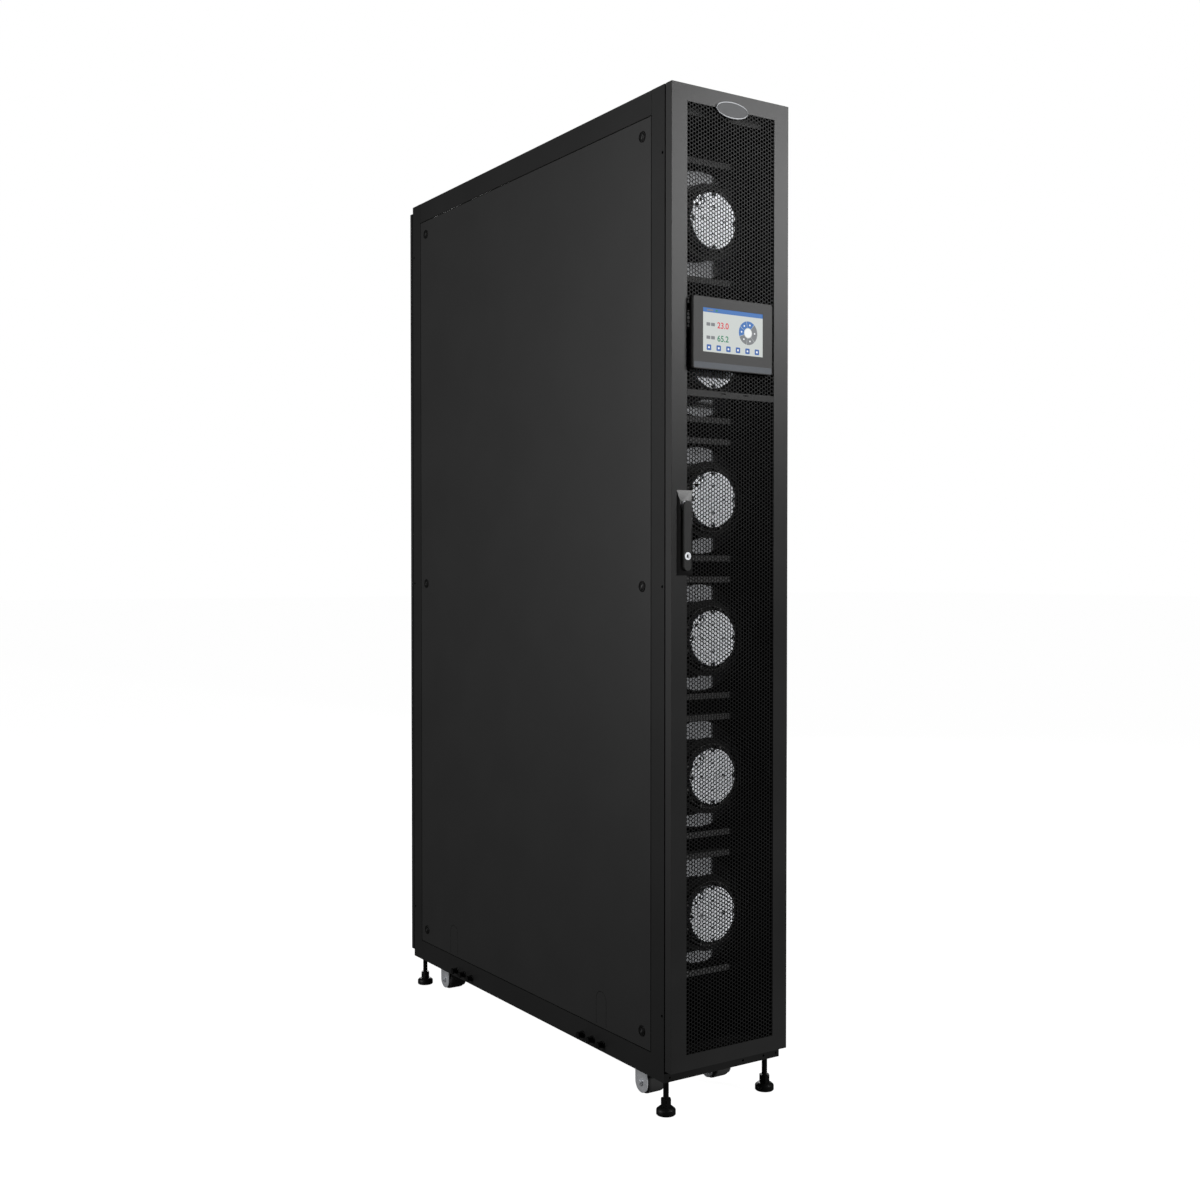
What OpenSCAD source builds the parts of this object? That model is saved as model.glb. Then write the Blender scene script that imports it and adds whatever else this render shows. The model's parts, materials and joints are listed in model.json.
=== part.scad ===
// In-row cooling unit: a tall, narrow cabinet with a perforated front and rear
// door, six radial fans behind the front door, a chilled-water coil, a filter
// and an electrical box at the rear. +Z is up, the front faces -Y, and the origin
// is on the floor under the middle of the whole unit.

/* [Cabinet] */
// Width over the side panels
cabinet_w = 300; // [290:5:400]
// Depth of the frame, front face to rear face
frame_d = 1152; // [1100:10:1400]
// Height of the frame above its own underside
frame_h = 2000; // [1960:10:2200]
// Height of the frame's underside above the floor
under_gap = 73.4; // [68:0.2:90]
// Width of a corner post, across the unit
post_w = 25; // [22:0.5:27]
// Depth of a corner post, along the unit
post_d = 45.5; // [42:0.5:50]
// Height of the top and bottom rails
rail_h = 50; // [45:1:60]
// Thickness of the frame's folded steel
frame_t = 2; // [1.5:0.1:2.5]
// Thickness of the floor and roof sheets
sheet_t = 1.5; // [1:0.1:2]

/* [Side panels] */
// Gap between a side panel and the frame around it
panel_gap = 2; // [1:0.5:4]
// Thickness of a side panel's skin
panel_skin = 1.2; // [0.8:0.1:2]
// Depth of a side panel's folded edges
panel_depth = 16; // [14:0.5:17]
// Width of the flange behind the panel that its edges rest on
seat_w = 45; // [42:1:60]
// Diameter of a quarter-turn panel fastener's head
fastener_d = 23; // [16:0.5:26]
// Distance of a fastener from the panel's front or rear edge
fastener_in_y = 30.5; // [26:0.5:38]
// Distance of the outer fasteners from the panel's top or bottom edge
fastener_in_z = 33.7; // [25:0.1:80]
// Width of a pipe knock-out in the panel
knockout_w = 40; // [30:1:60]
// Height of a pipe knock-out above the panel's lower edge
knockout_h = 76; // [60:1:120]
// Distance of the knock-outs from the middle of the panel
knockout_y = 344; // [250:1:380]
// Width of the slit around a knock-out
knockout_slit = 0.8; // [0.6:0.1:1.5]

/* [Joining to the next cabinet] */
// Diameter of the joining holes in the posts
baying_d = 6; // [4:0.5:8]
// Distance of the joining holes from the frame's front or rear face
baying_in = 7.5; // [7:0.1:10]
// Height from the middle joining hole to the outer ones
baying_pitch = 865.6; // [700:0.4:900]
// Diameter of the bolts in the lower side rails
rail_bolt_d = 8; // [6:0.5:10]
// Spacing of the three bolts in a group
rail_bolt_pitch = 40; // [30:1:60]
// Distance of the front bolt group from the frame's middle
rail_bolt_front = 311; // [260:1:360]
// Distance of the rear bolt group from the frame's middle
rail_bolt_rear = 288; // [240:1:340]
// Height of the bolts above the frame's underside
rail_bolt_z = 17; // [13:0.5:30]
// How far a rail bolt stands out of the side
rail_bolt_out = 15; // [14:0.5:22]

/* [Levelling feet and casters] */
// Diameter of a foot's pad
foot_pad_d = 40; // [32:1:46]
// Height of a foot's pad
foot_pad_h = 16; // [10:1:20]
// Diameter of a foot's threaded stem
foot_stem_d = 12; // [10:0.5:14]
// Distance of a foot from the side of the cabinet
foot_in_x = 21; // [20:0.5:22]
// Distance of a foot from the frame's front or rear face
foot_in_y = 22.3; // [21:0.1:24]
// Diameter of a caster's wheel
caster_d = 50; // [40:1:54]
// Width over a caster's fork
caster_w = 52; // [40:1:60]
// Height of a caster's wheel above the floor while the feet carry the unit
caster_lift = 3; // [1:0.5:6]
// Distance of a caster from the middle, across the unit
caster_x = 86; // [82:0.5:90]
// Distance of the front casters from the frame's front face
caster_in_front = 136; // [126:1:176]
// Distance of the rear casters from the frame's rear face
caster_in_rear = 104; // [100:1:136]

/* [Front door] */
// Gap between a door and the frame
door_gap = 3.5; // [3.5:0.1:5]
// Depth of the front door's folded pan
front_door_t = 20.5; // [19:0.5:26]
// Height of the front door's lower edge above the frame's underside
front_door_z = 25; // [15:1:35]
// Thickness of a door's sheet
door_skin = 1.5; // [1.2:0.1:2]
// Width of the plain border beside the perforated field
border_side = 38; // [36:0.5:44]
// Height of the plain border over the perforated field
border_top = 34; // [28:1:50]
// Height of the plain border under the perforated field
border_bottom = 32; // [28:1:50]
// Thickness of the perforated sheet
mesh_t = 1.2; // [0.8:0.1:1.6]
// Number of openings across a door's sheet, which stand for its many small holes
mesh_columns = 6; // [4:1:12]
// Number of openings up a door's sheet
mesh_rows = 48; // [24:1:60]
// Width of the bars between the openings
mesh_bar = 9; // [6:0.5:12]
// Height of the crossbar under the display
crossbar_h = 13; // [10:0.5:20]
// Height of the crossbar's middle above the frame's underside
crossbar_z = 1388.6; // [1320:0.2:1410]
// Length of the badge plate
badge_w = 82; // [60:1:100]
// Height of the badge plate
badge_h = 33; // [24:1:40]

/* [Rear door] */
// Depth of the rear door's folded pan
rear_door_t = 12; // [12:0.5:16]
// Height of the rear door's lower edge above the frame's underside
rear_door_z = 17; // [10:1:30]
// Distance of the rear door's upper edge below the frame's top
rear_door_top = 16; // [5:1:30]

/* [Hinges] */
// Distance of the front door's hinge axis from the side of the cabinet
front_axis_in = 8.5; // [8:0.1:8.8]
// Distance of the front door's hinge axis from the back of the pan
front_axis_up = 10.5; // [10.5:0.1:11.5]
// Distance of the rear door's hinge axis from the side of the cabinet
rear_axis_in = 6.5; // [6.3:0.1:6.8]
// Distance of the rear door's hinge axis from the back of the pan
rear_axis_up = 6; // [6:0.1:6.2]
// Thickness of the arm that carries a hinge pin
hinge_arm_t = 4; // [3:0.5:6]

/* [Display] */
// Width of the display
display_w = 203; // [180:1:214]
// Height of the display
display_h = 145; // [120:1:160]
// How far the display stands out of the door
display_out = 12.5; // [12.5:0.5:30]
// Offset of the display's middle from the middle of the door
display_x = -4.5; // [-8:0.5:8]
// Height of the display's middle above the frame's underside
display_z = 1508.4; // [1490:0.2:1600]
// Corner radius of the display
display_r = 4; // [2:0.5:8]
// Width of the screen
screen_w = 154; // [120:1:170]
// Height of the screen
screen_h = 88; // [70:1:100]
// Height of the screen's middle above the display's middle
screen_up = 6.5; // [0:0.5:10]

/* [Door handles] */
// Distance of a handle's middle from the side of the cabinet
handle_in = 32; // [31:0.5:33]
// Width of a handle's housing
handle_w = 39; // [36:0.5:42]
// Height of a handle's housing
handle_h = 171; // [150:1:190]
// Height of the housing's middle above the frame's underside
handle_z = 1107.6; // [1000:0.2:1150]
// How far the housing stands out of the door
handle_rim = 5; // [4.5:0.1:7]
// Width of the lever
lever_w = 17.4; // [15:0.2:20]
// Length of the lever
lever_h = 139; // [120:1:150]
// Thickness of the lever
lever_t = 6.2; // [6:0.1:8]
// Gap between the lever and its housing
lever_gap = 0.4; // [0.3:0.1:1]
// Distance of the handle's turning axis below the lever's top
lever_axis = 11; // [10.5:0.1:11]
// Distance of the lock above the lever's lower end
lock_up = 29; // [20:1:50]
// Diameter of the lock cylinder
lock_d = 15.6; // [10:0.2:16]
// Diameter of the handle's shaft
shaft_d = 10; // [8:0.5:12]
// Reach of the latch cam from the shaft's axis
cam_reach = 22; // [18:0.5:24]

/* [Fans] */
// Number of fans
fan_count = 6; // [4:1:6]
// Height from one fan to the next
fan_pitch = 288.2; // [276:0.2:292]
// Height of the lowest fan above the frame's underside
fan_first = 315.5; // [300:0.5:330]
// Diameter of a fan wheel
wheel_d = 230; // [210:2:230]
// Diameter of the bright cap on a fan's motor
hub_d = 115; // [100:1:120]
// Distance of the motor caps behind the frame's front face
fan_in = 36; // [34:0.5:40]
// Thickness of a motor cap
hub_t = 17; // [15:0.5:22]
// Diameter of the black ring plate that carries a motor
ring_plate_d = 160; // [150:1:170]
// Height over the two bars that carry a fan
fan_frame_h = 256; // [250:1:262]
// Height of a bar's front flange
fan_bar_h = 12; // [8:1:12]
// Width of a fan wheel, along its axis
wheel_t = 52; // [44:1:60]
// Number of blades
blade_count = 7; // [5:1:9]
// Diameter of the eye in the wheel's shroud
eye_d = 150; // [140:2:160]
// Gap between the inlet nozzle and the wheel's eye
nozzle_gap = 3; // [2:0.5:4]
// Depth of the inlet nozzle in front of the bulkhead
nozzle_l = 36; // [30:1:44]

/* [Coil and water] */
// Distance of the coil's middle in front of the frame's middle
coil_y = 38; // [0:1:80]
// Depth of the fins
fin_d = 94; // [80:1:120]
// Spacing of the fins
fin_pitch = 9; // [7:0.5:14]
// Thickness of a fin
fin_t = 0.8; // [0.5:0.1:1.2]
// Height of the coil's lower end above the frame's underside
coil_low = 80; // [70:1:120]
// Distance of the coil's upper end below the frame's top
coil_drop = 170; // [150:1:220]
// Number of hairpin tubes
hairpins = 14; // [6:1:16]
// Diameter of a coil tube
tube_d = 12.7; // [9.5:0.1:14]
// Distance between the two rows of tubes
row_pitch = 44; // [43:1:48]
// Diameter of the supply and return headers
header_d = 26; // [22:1:30]
// Outside diameter of the water pipes
pipe_d = 28; // [22:1:30]
// Wall of the water pipes
pipe_wall = 1.5; // [1:0.1:2]
// Diameter of the roof holes for the pipes
roof_hole_d = 40; // [34:1:41]
// Diameter of the condensate drain spigot
drain_d = 16; // [12:1:20]

/* [Filter and electrical box] */
// Depth of the air filters
filter_d = 22; // [15:1:22]
// Height of the electrical box
ebox_h = 380; // [300:10:450]
// Depth of the electrical box
ebox_d = 100; // [80:5:140]
// Diameter of the main switch's knob
knob_d = 40; // [30:1:50]

/* [Fits] */
// Radial clearance of a shaft in its bearing
run = 0.05; // [0.02:0.01:0.09]
// Side clearance between pieces that move past each other
clear = 0.5; // [0.3:0.1:0.6]
// Radial clearance of a screw in its hole
screw_clear = 0.2; // [0.1:0.05:0.4]

/* [Hidden] */
$fn = 48;
e = 0.1;                                    // overlap that makes a cut clean
hw = cabinet_w / 2;                         // half width
hf = frame_d / 2;                           // half depth of the frame
z0 = under_gap;                             // frame's underside
z1 = z0 + frame_h;                          // frame's top
zm = (z0 + z1) / 2;
post_x = hw - post_w;                       // inner face of a post
yi = hf - post_d;                           // where a post ends and the rails begin
seat_x = hw - panel_depth;                  // outer face of the panel's seat
inner_x = seat_x - frame_t;                 // clear half width inside the frame
floor_z = z0 + frame_t + sheet_t;           // top of the floor sheet
roof_z = z1 - sheet_t;                      // underside of the roof sheet
sill_screw_r = 2.5;                         // screw holes along the front frame
sill_screw_in = 14;
sill_screw_mid = 53;
sill_screw_far = 108;
sill_screw_edge = 9;
cable_w = 120;                              // cable slot in the roof
cable_l = 50;
cable_y = 265;
// inner uprights: width, and how far they stand before and behind the coil and before the rear posts
upright_w = 30;
upright_before = 115;
upright_behind = 51;
upright_in = 230.5;
upright_ys = [-coil_y - fin_d / 2 - upright_before, -coil_y + fin_d / 2 + upright_behind, yi - upright_in];
// side panels
py = yi - panel_gap;
pz0 = z0 + rail_h + panel_gap;
pz1 = z1 - rail_h - panel_gap;
fastener_y = py - fastener_in_y;
fastener_zs = [pz0 + fastener_in_z, (pz0 + pz1) / 2, pz1 - fastener_in_z];
fastener_stem = 8;
fastener_out = 1.6;
// feet and casters
foot_x = hw - foot_in_x;
foot_y = hf - foot_in_y;
foot_block = 12;                            // thickness of the threaded corner blocks
nut_h = 10;
stem_top = z0 + foot_block + nut_h + 12;
collar_h = 17;
caster_z = caster_lift + caster_d / 2;      // wheel's axle above the floor
caster_ys = [-hf + caster_in_front, hf - caster_in_rear];
plate_t = 3;                                // thickness of a caster's top plate
plate_w = 38;                               // half width of a caster's top plate
plate_l = 40;                               // its half length
backing_t = 4;                              // thickness of the plates that back the casters
backing_l = 45;                             // their half length
fork_t = 2.5;
axle_d = 8;
// doors
front_face = hf + door_gap + front_door_t;  // distance of the front door's face
rear_face = hf + door_gap + rear_door_t;
open_x = hw - border_side;                  // half width of the perforated field
fz0 = z0 + front_door_z;
fz1 = z1;
rz0 = z0 + rear_door_z;
rz1 = z1 - rear_door_top;
mesh_lap = 8;
slot_left = -21;                            // middles of the crossbar's two slots
slot_right = 37.5;
slot_half = 6.5;
slot_low = 1;
slot_high = 3;
cross_z = z0 + crossbar_z;
disp_z = z0 + display_z;
// handles
handle_x = -hw + handle_in;
hz = z0 + handle_z;
lever_rise = 149;                           // lever's top above the housing's lower end
lever_top = hz - handle_h / 2 + lever_rise;
axis_z = lever_top - lever_axis;
lock_z = lever_top - lever_h + lock_up;
tub_w = 30;
tub_short = 21;                             // how much shorter the tub is than the housing
tub_h = handle_h - tub_short;
tub_d = 8;
lever_back = handle_rim + lever_gap;        // all handle depths are out of the door's face
lever_front = lever_back + lever_t;
lock_out = 0.4;                             // how far the lock stands out of the lever
pivot_out = lever_front - 3.1;
cam_t = 4;
cam_in = frame_t + 0.5;                     // cam's distance behind the frame's face
cam_w = 13;
// fans
cap_y = -hf + fan_in;                       // front of the motor caps
arm_y = cap_y + hub_t;                      // front of the ring plates
arm_t = 3;
back_y = arm_y + arm_t + 28;                // front of a wheel's back plate
shroud_y = back_y + wheel_t;                // rear of a wheel's shroud
sheet_w = 2;
bulk_y = shroud_y - nozzle_gap + nozzle_l;
nozzle_r = eye_d / 2 - nozzle_gap;
nozzle_t = 2;
nozzle_flange = 27;                         // reach of a nozzle's flange outside its throat
nozzle_flare = 14;                          // reach of the rounded part inside that flange
nozzle_hole = 20;                           // reach of the bulkhead's hole outside a throat
core_r = 33;
rotor_shaft_r = 5;
outlet_w = 18;                              // cable outlet at the edge of a motor's cap
outlet_in = 14;
outlet_t = 8;
motor_screw_r = 28;                         // pitch radius and diameter of the screws in a motor's cap
motor_screw_d = 4;
cup_r = 44;
fan_zs = [for (i = [0:fan_count - 1]) z0 + fan_first + i * fan_pitch];
// coil and water
coil_z0 = z0 + coil_low;
coil_z1 = z1 - coil_drop;
sheet_left_in = 38;                         // tube sheets' distance from the unit's sides
sheet_right_in = 62;
sheet_left = -hw + sheet_left_in;
sheet_right = hw - sheet_right_in;
header_x = sheet_right + header_d / 2 + 1;
row_ys = [-coil_y - row_pitch / 2, -coil_y + row_pitch / 2];
hairpin_end = 40;                           // first and last hairpin's distance from the coil's ends
hairpin_step = (coil_z1 - coil_z0 - 2 * hairpin_end) / (hairpins - 1);
valve_z = coil_z1 + 30;
valve_h = 60;
neck_r = 9;                                 // neck between the valve and its actuator
neck_l = 16;
actuator_d = 60;                            // depth of the actuator
actuator_left = 32;
actuator_right = 24;
pipe_top = roof_z - 6;
tray_wall = 1.5;
tray_h = 26;
tray_side = 20;                             // tray's reach beside and before the coil
tray_front = 15;
pump_y = 175;
pump_h = 100;
pump_w = 100;
pump_l = 110;
pump_motor_d = 56;
spigot_l = 16;                              // length of the drain spigot under the floor sheet
// filters and electrical box
filter_bar = 15;                            // width of a filter's own frame
filter_fit = 0.3;                           // clearance beside and over a filter
pleats = 12;
pleat_t = 2;
pleat_in = 3;                               // how far the pleats stay inside the frame's faces
ebox_wall = 1.5;
board_x = -100;                             // left edge of the control board and of the relays
board_w = 120;
board_low = 200;
board_drop = 30;
board_t = 4.5;
relay_w = 36;
relay_pitch = 45;
relay_d = 58.5;
relay_z = [50, 140];                        // relays' ends above the box's floor
ebox_drop = 50;                             // gap between the electrical box and the top rails
filter_top_gap = 10;                        // gap between the filters and the electrical box
filter_y = yi - 1 - filter_d;
filter_z = floor_z + backing_t;
ebox_z = z1 - rail_h - ebox_drop - ebox_h;
filter_h = (ebox_z - filter_top_gap - filter_z) / 2;
ebox_y = yi - 10 - ebox_d;
knob_z = ebox_z + ebox_h * 0.6;
knob_x = 50;
// the origin lies under the middle of the unit's whole depth
shift_y = (display_out + front_face - rear_face - lever_front - lock_out) / 2;

// ---------- shapes used in several places ----------

module box(x, y, z) translate([x[0], y[0], z[0]]) cube([x[1] - x[0], y[1] - y[0], z[1] - z[0]]);
module rod_x(r, x, y, z) translate([x[0], y, z]) rotate([0, 90, 0]) cylinder(r = r, h = x[1] - x[0]);
module rod_y(r, x, y, z) translate([x, y[0], z]) rotate([-90, 0, 0]) cylinder(r = r, h = y[1] - y[0]);
module rod_z(r, x, y, z) translate([x, y, z[0]]) cylinder(r = r, h = z[1] - z[0]);
module hex_x(af, x, y, z) translate([x[0], y, z]) rotate([0, 90, 0])
    cylinder(r = af / 2 / cos(30), h = x[1] - x[0], $fn = 6);
module hex_z(af, z) translate([0, 0, z[0]]) cylinder(r = af / 2 / cos(30), h = z[1] - z[0], $fn = 6);
// a body turned about an axis along Y, drawn as [radius, y] points
module turned_y(points) rotate([-90, 0, 0]) rotate_extrude() polygon([for (p = points) [p[0], p[1]]]);
module left_and_right() { children(); mirror([1, 0, 0]) children(); }
module front_and_rear() { children(); mirror([0, 1, 0]) children(); }
module rounded_plate(w, h, r) {
    square([w - 2 * r, h], center = true);
    square([w, h - 2 * r], center = true);
    for (x = [-1, 1], y = [-1, 1]) translate([x * (w / 2 - r), y * (h / 2 - r)]) circle(r);
}
// a plate in the XZ plane, from y[0] to y[1]
module upright(y) translate([0, y[1], 0]) rotate([90, 0, 0]) linear_extrude(y[1] - y[0]) children();

// ---------- frame ----------

// plan of the post at the corner where x and y are positive
module post_plan() {
    translate([hw - frame_t, yi]) square([frame_t, post_d]);
    translate([post_x, hf - frame_t]) square([post_w, frame_t]);
    translate([post_x, yi]) square([frame_t, post_d]);
    translate([inner_x, yi]) square([hw - inner_x, frame_t]);
}

// a cross member between two posts, open towards the unit's middle
module cross_member(low, high, top_wall) {
    box([-post_x, post_x], [hf - frame_t, hf], [low, high]);
    box([-post_x, post_x], [yi, hf], [low, low + frame_t]);
    box([-post_x, post_x], [yi, hf], [top_wall - frame_t, top_wall]);
}

// one end frame, drawn at the +Y end
module end_frame() difference() {
    union() {
        left_and_right() {
            translate([0, 0, z0]) linear_extrude(frame_h) post_plan();
            // seat for the side panel's edge
            box([inner_x, seat_x], [yi - seat_w, yi + frame_t], [z0 + rail_h, z1 - rail_h]);
            box([foot_x - 17, hw - frame_t], [yi, hf - frame_t], [z0, z0 + foot_block]);
        }
        cross_member(z0, z0 + rail_h, z0 + rail_h);
        cross_member(z1 - rail_h, z1, roof_z);
    }
    box([-hw + frame_t, hw - frame_t], [0, hf - frame_t], [roof_z, z1 + e]);
    left_and_right() {
        rod_z(foot_stem_d / 2, foot_x, foot_y, [z0 - e, z0 + foot_block + e]);
        rod_z(12, foot_x, foot_y, [z0 + foot_block, stem_top + 2]);
        for (k = [-1:1])
            rod_x(baying_d / 2, [hw - frame_t - e, hw + e], hf - baying_in, zm + k * baying_pitch);
        for (z = fastener_zs)
            rod_x(fastener_stem / 2 + screw_clear, [inner_x - e, seat_x + e], fastener_y, z);
    }
    // room for the latch cam in the post on the handle side
    box([handle_x - cam_reach - 3, -post_x + e], [hf - 14, hf + e],
        [axis_z - cam_reach - 4, axis_z + cam_w / 2 + 3]);
}

module front_frame() color([0.10, 0.10, 0.11]) mirror([0, 1, 0]) difference() {
    end_frame();
    // screw holes in the front of the sill and posts
    for (x = [-hw + sill_screw_in, sill_screw_mid, sill_screw_far, hw - sill_screw_edge])
        rod_y(sill_screw_r, x, [hf - frame_t - e, hf + e], z0 + 9);
}

module rear_frame() color([0.10, 0.10, 0.11]) end_frame();

function rail_bolt_ys() = [for (k = [-1:1]) -rail_bolt_front + k * rail_bolt_pitch,
                           for (k = [-1:1]) rail_bolt_rear + k * rail_bolt_pitch];

module base_rails() color([0.10, 0.10, 0.11]) {
    left_and_right() difference() {
        union() {
            box([hw - frame_t, hw], [-yi, yi], [z0, z0 + rail_h]);
            box([inner_x, hw], [-yi, yi], [z0, z0 + frame_t]);
            box([inner_x, hw], [-yi, yi], [z0 + rail_h - frame_t, z0 + rail_h]);
        }
        for (y = rail_bolt_ys())
            rod_x(rail_bolt_d / 2 + screw_clear, [hw - frame_t - e, hw + e], y, z0 + rail_bolt_z);
    }
    // plates on the floor sheet that back the casters
    for (y = caster_ys)
        box([-hw + frame_t + 1, hw - frame_t - 1], [y - backing_l, y + backing_l], [floor_z, floor_z + backing_t]);
}

module top_rails() color([0.10, 0.10, 0.11]) left_and_right() {
    box([hw - frame_t, hw], [-yi, yi], [z1 - rail_h, z1]);
    box([inner_x, hw], [-yi, yi], [roof_z - frame_t, roof_z]);
    box([inner_x, hw], [-yi, yi], [z1 - rail_h, z1 - rail_h + frame_t]);
}

// inner uprights between the rails
module mid_posts() color([0.12, 0.12, 0.13]) left_and_right()
    for (y = upright_ys) {
        box([inner_x, seat_x], [y, y + upright_w], [z0 + rail_h, z1 - rail_h]);
        box([inner_x, hw - 6], [y, y + frame_t], [pz0 + panel_skin + clear, pz1 - panel_skin - clear]);
    }

module floor_panel() color([0.12, 0.12, 0.13]) difference() {
    box([-hw + frame_t + 0.5, hw - frame_t - 0.5], [-yi + 0.5, yi - 0.5], [floor_z - sheet_t, floor_z]);
    rod_z(drain_d / 2 + 1, 0, pump_y, [floor_z - sheet_t - e, floor_z + e]);
}

module roof_panel() color([0.12, 0.12, 0.13]) difference() {
    box([-hw + frame_t + 0.5, hw - frame_t - 0.5], [-hf + frame_t + 0.5, hf - frame_t - 0.5], [roof_z, z1]);
    for (y = row_ys) rod_z(roof_hole_d / 2, header_x, y, [roof_z - e, z1 + e]);
    box([-cable_w / 2, cable_w / 2], [cable_y - cable_l / 2, cable_y + cable_l / 2], [roof_z - e, z1 + e]);
}

// ---------- side panels ----------

// the tongue of a knock-out, grown by g all round
module tongue(g) {
    translate([-knockout_w / 2 - g, 0]) square([knockout_w + 2 * g, knockout_h - knockout_w / 2]);
    translate([0, knockout_h - knockout_w / 2]) circle(knockout_w / 2 + g);
}

module side_panel() difference() {
    union() {
        box([hw - panel_skin, hw], [-py, py], [pz0, pz1]);
        front_and_rear() box([seat_x, hw], [py - panel_skin, py], [pz0, pz1]);
        box([seat_x, hw], [-py, py], [pz0, pz0 + panel_skin]);
        box([seat_x, hw], [-py, py], [pz1 - panel_skin, pz1]);
    }
    front_and_rear() for (z = fastener_zs)
        rod_x(fastener_stem / 2 + screw_clear, [hw - panel_skin - e, hw + e], fastener_y, z);
    // slits of the knock-outs, held by two bridges each
    front_and_rear() translate([hw - panel_skin - e, knockout_y, pz0 + panel_skin]) rotate([90, 0, 90])
        linear_extrude(panel_skin + 2 * e) difference() {
            tongue(0);
            tongue(-knockout_slit);
            translate([-knockout_w, 0]) square([2 * knockout_w, 3]);
            translate([-knockout_w, knockout_h / 2]) square([2 * knockout_w, 3]);
        }
}

module side_panel_left() color([0.09, 0.09, 0.10]) mirror([1, 0, 0]) side_panel();
module side_panel_right() color([0.09, 0.09, 0.10]) side_panel();

module panel_fasteners() color([0.04, 0.04, 0.04]) left_and_right() front_and_rear()
    for (z = fastener_zs) translate([0, fastener_y, z]) difference() {
        union() {
            rod_x(fastener_d / 2, [hw, hw + fastener_out], 0, 0);
            rod_x(fastener_stem / 2, [inner_x - 6, hw], 0, 0);
            rod_x(fastener_stem / 2 + 3, [inner_x - 4, inner_x], 0, 0);
        }
        box([hw + 0.6, hw + fastener_out + e], [-1, 1], [-fastener_d / 2 + 4, fastener_d / 2 - 4]);
    }

module rail_bolts() color([0.05, 0.05, 0.05]) left_and_right()
    for (y = rail_bolt_ys()) {
        z = z0 + rail_bolt_z;
        rod_x(rail_bolt_d / 2, [hw - frame_t - 8, hw + rail_bolt_out - 2], y, z);
        hex_x(rail_bolt_d * 1.6, [hw - frame_t - 6, hw - frame_t], y, z);
        rod_x(rail_bolt_d, [hw, hw + 2], y, z);
        hex_x(rail_bolt_d * 1.6, [hw + 2, hw + 7], y, z);
        hex_x(rail_bolt_d * 1.6, [hw + rail_bolt_out - 5.3, hw + rail_bolt_out], y, z);
    }

// ---------- feet and casters ----------

module foot(side, end) color([0.05, 0.05, 0.05]) translate([side * foot_x, end * foot_y, 0]) {
    rotate_extrude() polygon([[0, 0], [foot_pad_d / 2 - 1, 0], [foot_pad_d / 2, 1],
        [foot_pad_d / 2, foot_pad_h - 5], [foot_pad_d / 2 - 5, foot_pad_h], [0, foot_pad_h]]);
    hex_z(20, [foot_pad_h, foot_pad_h + collar_h]);
    cylinder(r = foot_stem_d / 2 - run, h = stem_top);
}

module foot_lock_nuts() color([0.55, 0.56, 0.58]) left_and_right() front_and_rear()
    translate([foot_x, foot_y, 0]) difference() {
        hex_z(19, [z0 + foot_block, z0 + foot_block + nut_h]);
        cylinder(r = foot_stem_d / 2, h = stem_top + 5);
    }

module at_casters() left_and_right() for (y = caster_ys) translate([caster_x, y, 0]) children();

module caster_forks() color([0.68, 0.69, 0.70]) at_casters() difference() {
    cheek_r = caster_d / 2 - 3;
    top = z0 + frame_t;
    union() {
        box([-plate_w, plate_w], [-plate_l, plate_l], [top - plate_t, top]);
        for (s = [-1, 1]) {
            x = s * (caster_w / 2 - fork_t / 2);
            box([x - fork_t / 2, x + fork_t / 2], [-cheek_r, cheek_r], [caster_z, top - plate_t]);
            rod_x(cheek_r, [x - fork_t / 2, x + fork_t / 2], 0, caster_z);
        }
    }
    rod_x(axle_d / 2 + screw_clear, [-caster_w, caster_w], 0, caster_z);
}

module caster_axles() color([0.60, 0.61, 0.62]) at_casters() {
    rod_x(axle_d / 2, [-caster_w / 2 - 6, caster_w / 2 + 6], 0, caster_z);
    for (s = [-1, 1]) hex_x(13, s > 0 ? [caster_w / 2, caster_w / 2 + 4] : [-caster_w / 2 - 4, -caster_w / 2],
        0, caster_z);
}

module caster_wheel(side, y) color([0.06, 0.06, 0.06]) translate([side * caster_x, y, caster_z])
    rotate([0, 90, 0]) {
        half = caster_w / 2 - fork_t - clear;
        r = caster_d / 2;
        bore = axle_d / 2 + run;
        rotate_extrude() {
            translate([bore, -half]) square([r - 8 - bore, 2 * half]);
            translate([bore, -half + 8]) square([r - bore, 2 * half - 16]);
            for (s = [-1, 1]) translate([r - 8, s * (half - 8)]) circle(8);
        }
    }

// ---------- doors ----------

// the pan of a door whose outer face is the plane y = -face
module door_pan(face, t, low, high, axis_x, axis_y, hinge_zs, pin_r, cut_z) difference() {
    back = -face + t;
    inside = hw - door_skin;
    union() {
        difference() {
            box([-hw, hw], [-face, back], [low, high]);
            box([-inside, inside], [-face + door_skin, back + e], [low + door_skin, high - door_skin]);
            box([-open_x, open_x], [-face - e, back], [low + border_bottom, high - border_top]);
        }
        for (z = hinge_zs, s = [-1, 1]) ear(face, axis_x, axis_y, pin_r + 2, z, s);
    }
    for (z = hinge_zs) {
        rod_z(pin_r + run, axis_x, axis_y, [z - 15, z + 15]);
        box([inside - 1, hw + e], [-face + door_skin, back + e], [z - 20, z + 20]);
    }
    box([handle_x - tub_w / 2 - clear, handle_x + tub_w / 2 + clear], [-face - e, -face + tub_d + 1],
        [hz - tub_h / 2 - clear, hz + tub_h / 2 + clear]);
}

// one knuckle of a door's hinge, over (s = 1) or under (s = -1) the arm
module ear(face, axis_x, axis_y, half, z, s) {
    near = hinge_arm_t / 2 + clear;
    box([axis_x - half, axis_x + half], [-face + door_skin / 2, axis_y + half],
        s > 0 ? [z + near, z + near + 10] : [z - near - 10, z - near]);
}

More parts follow.
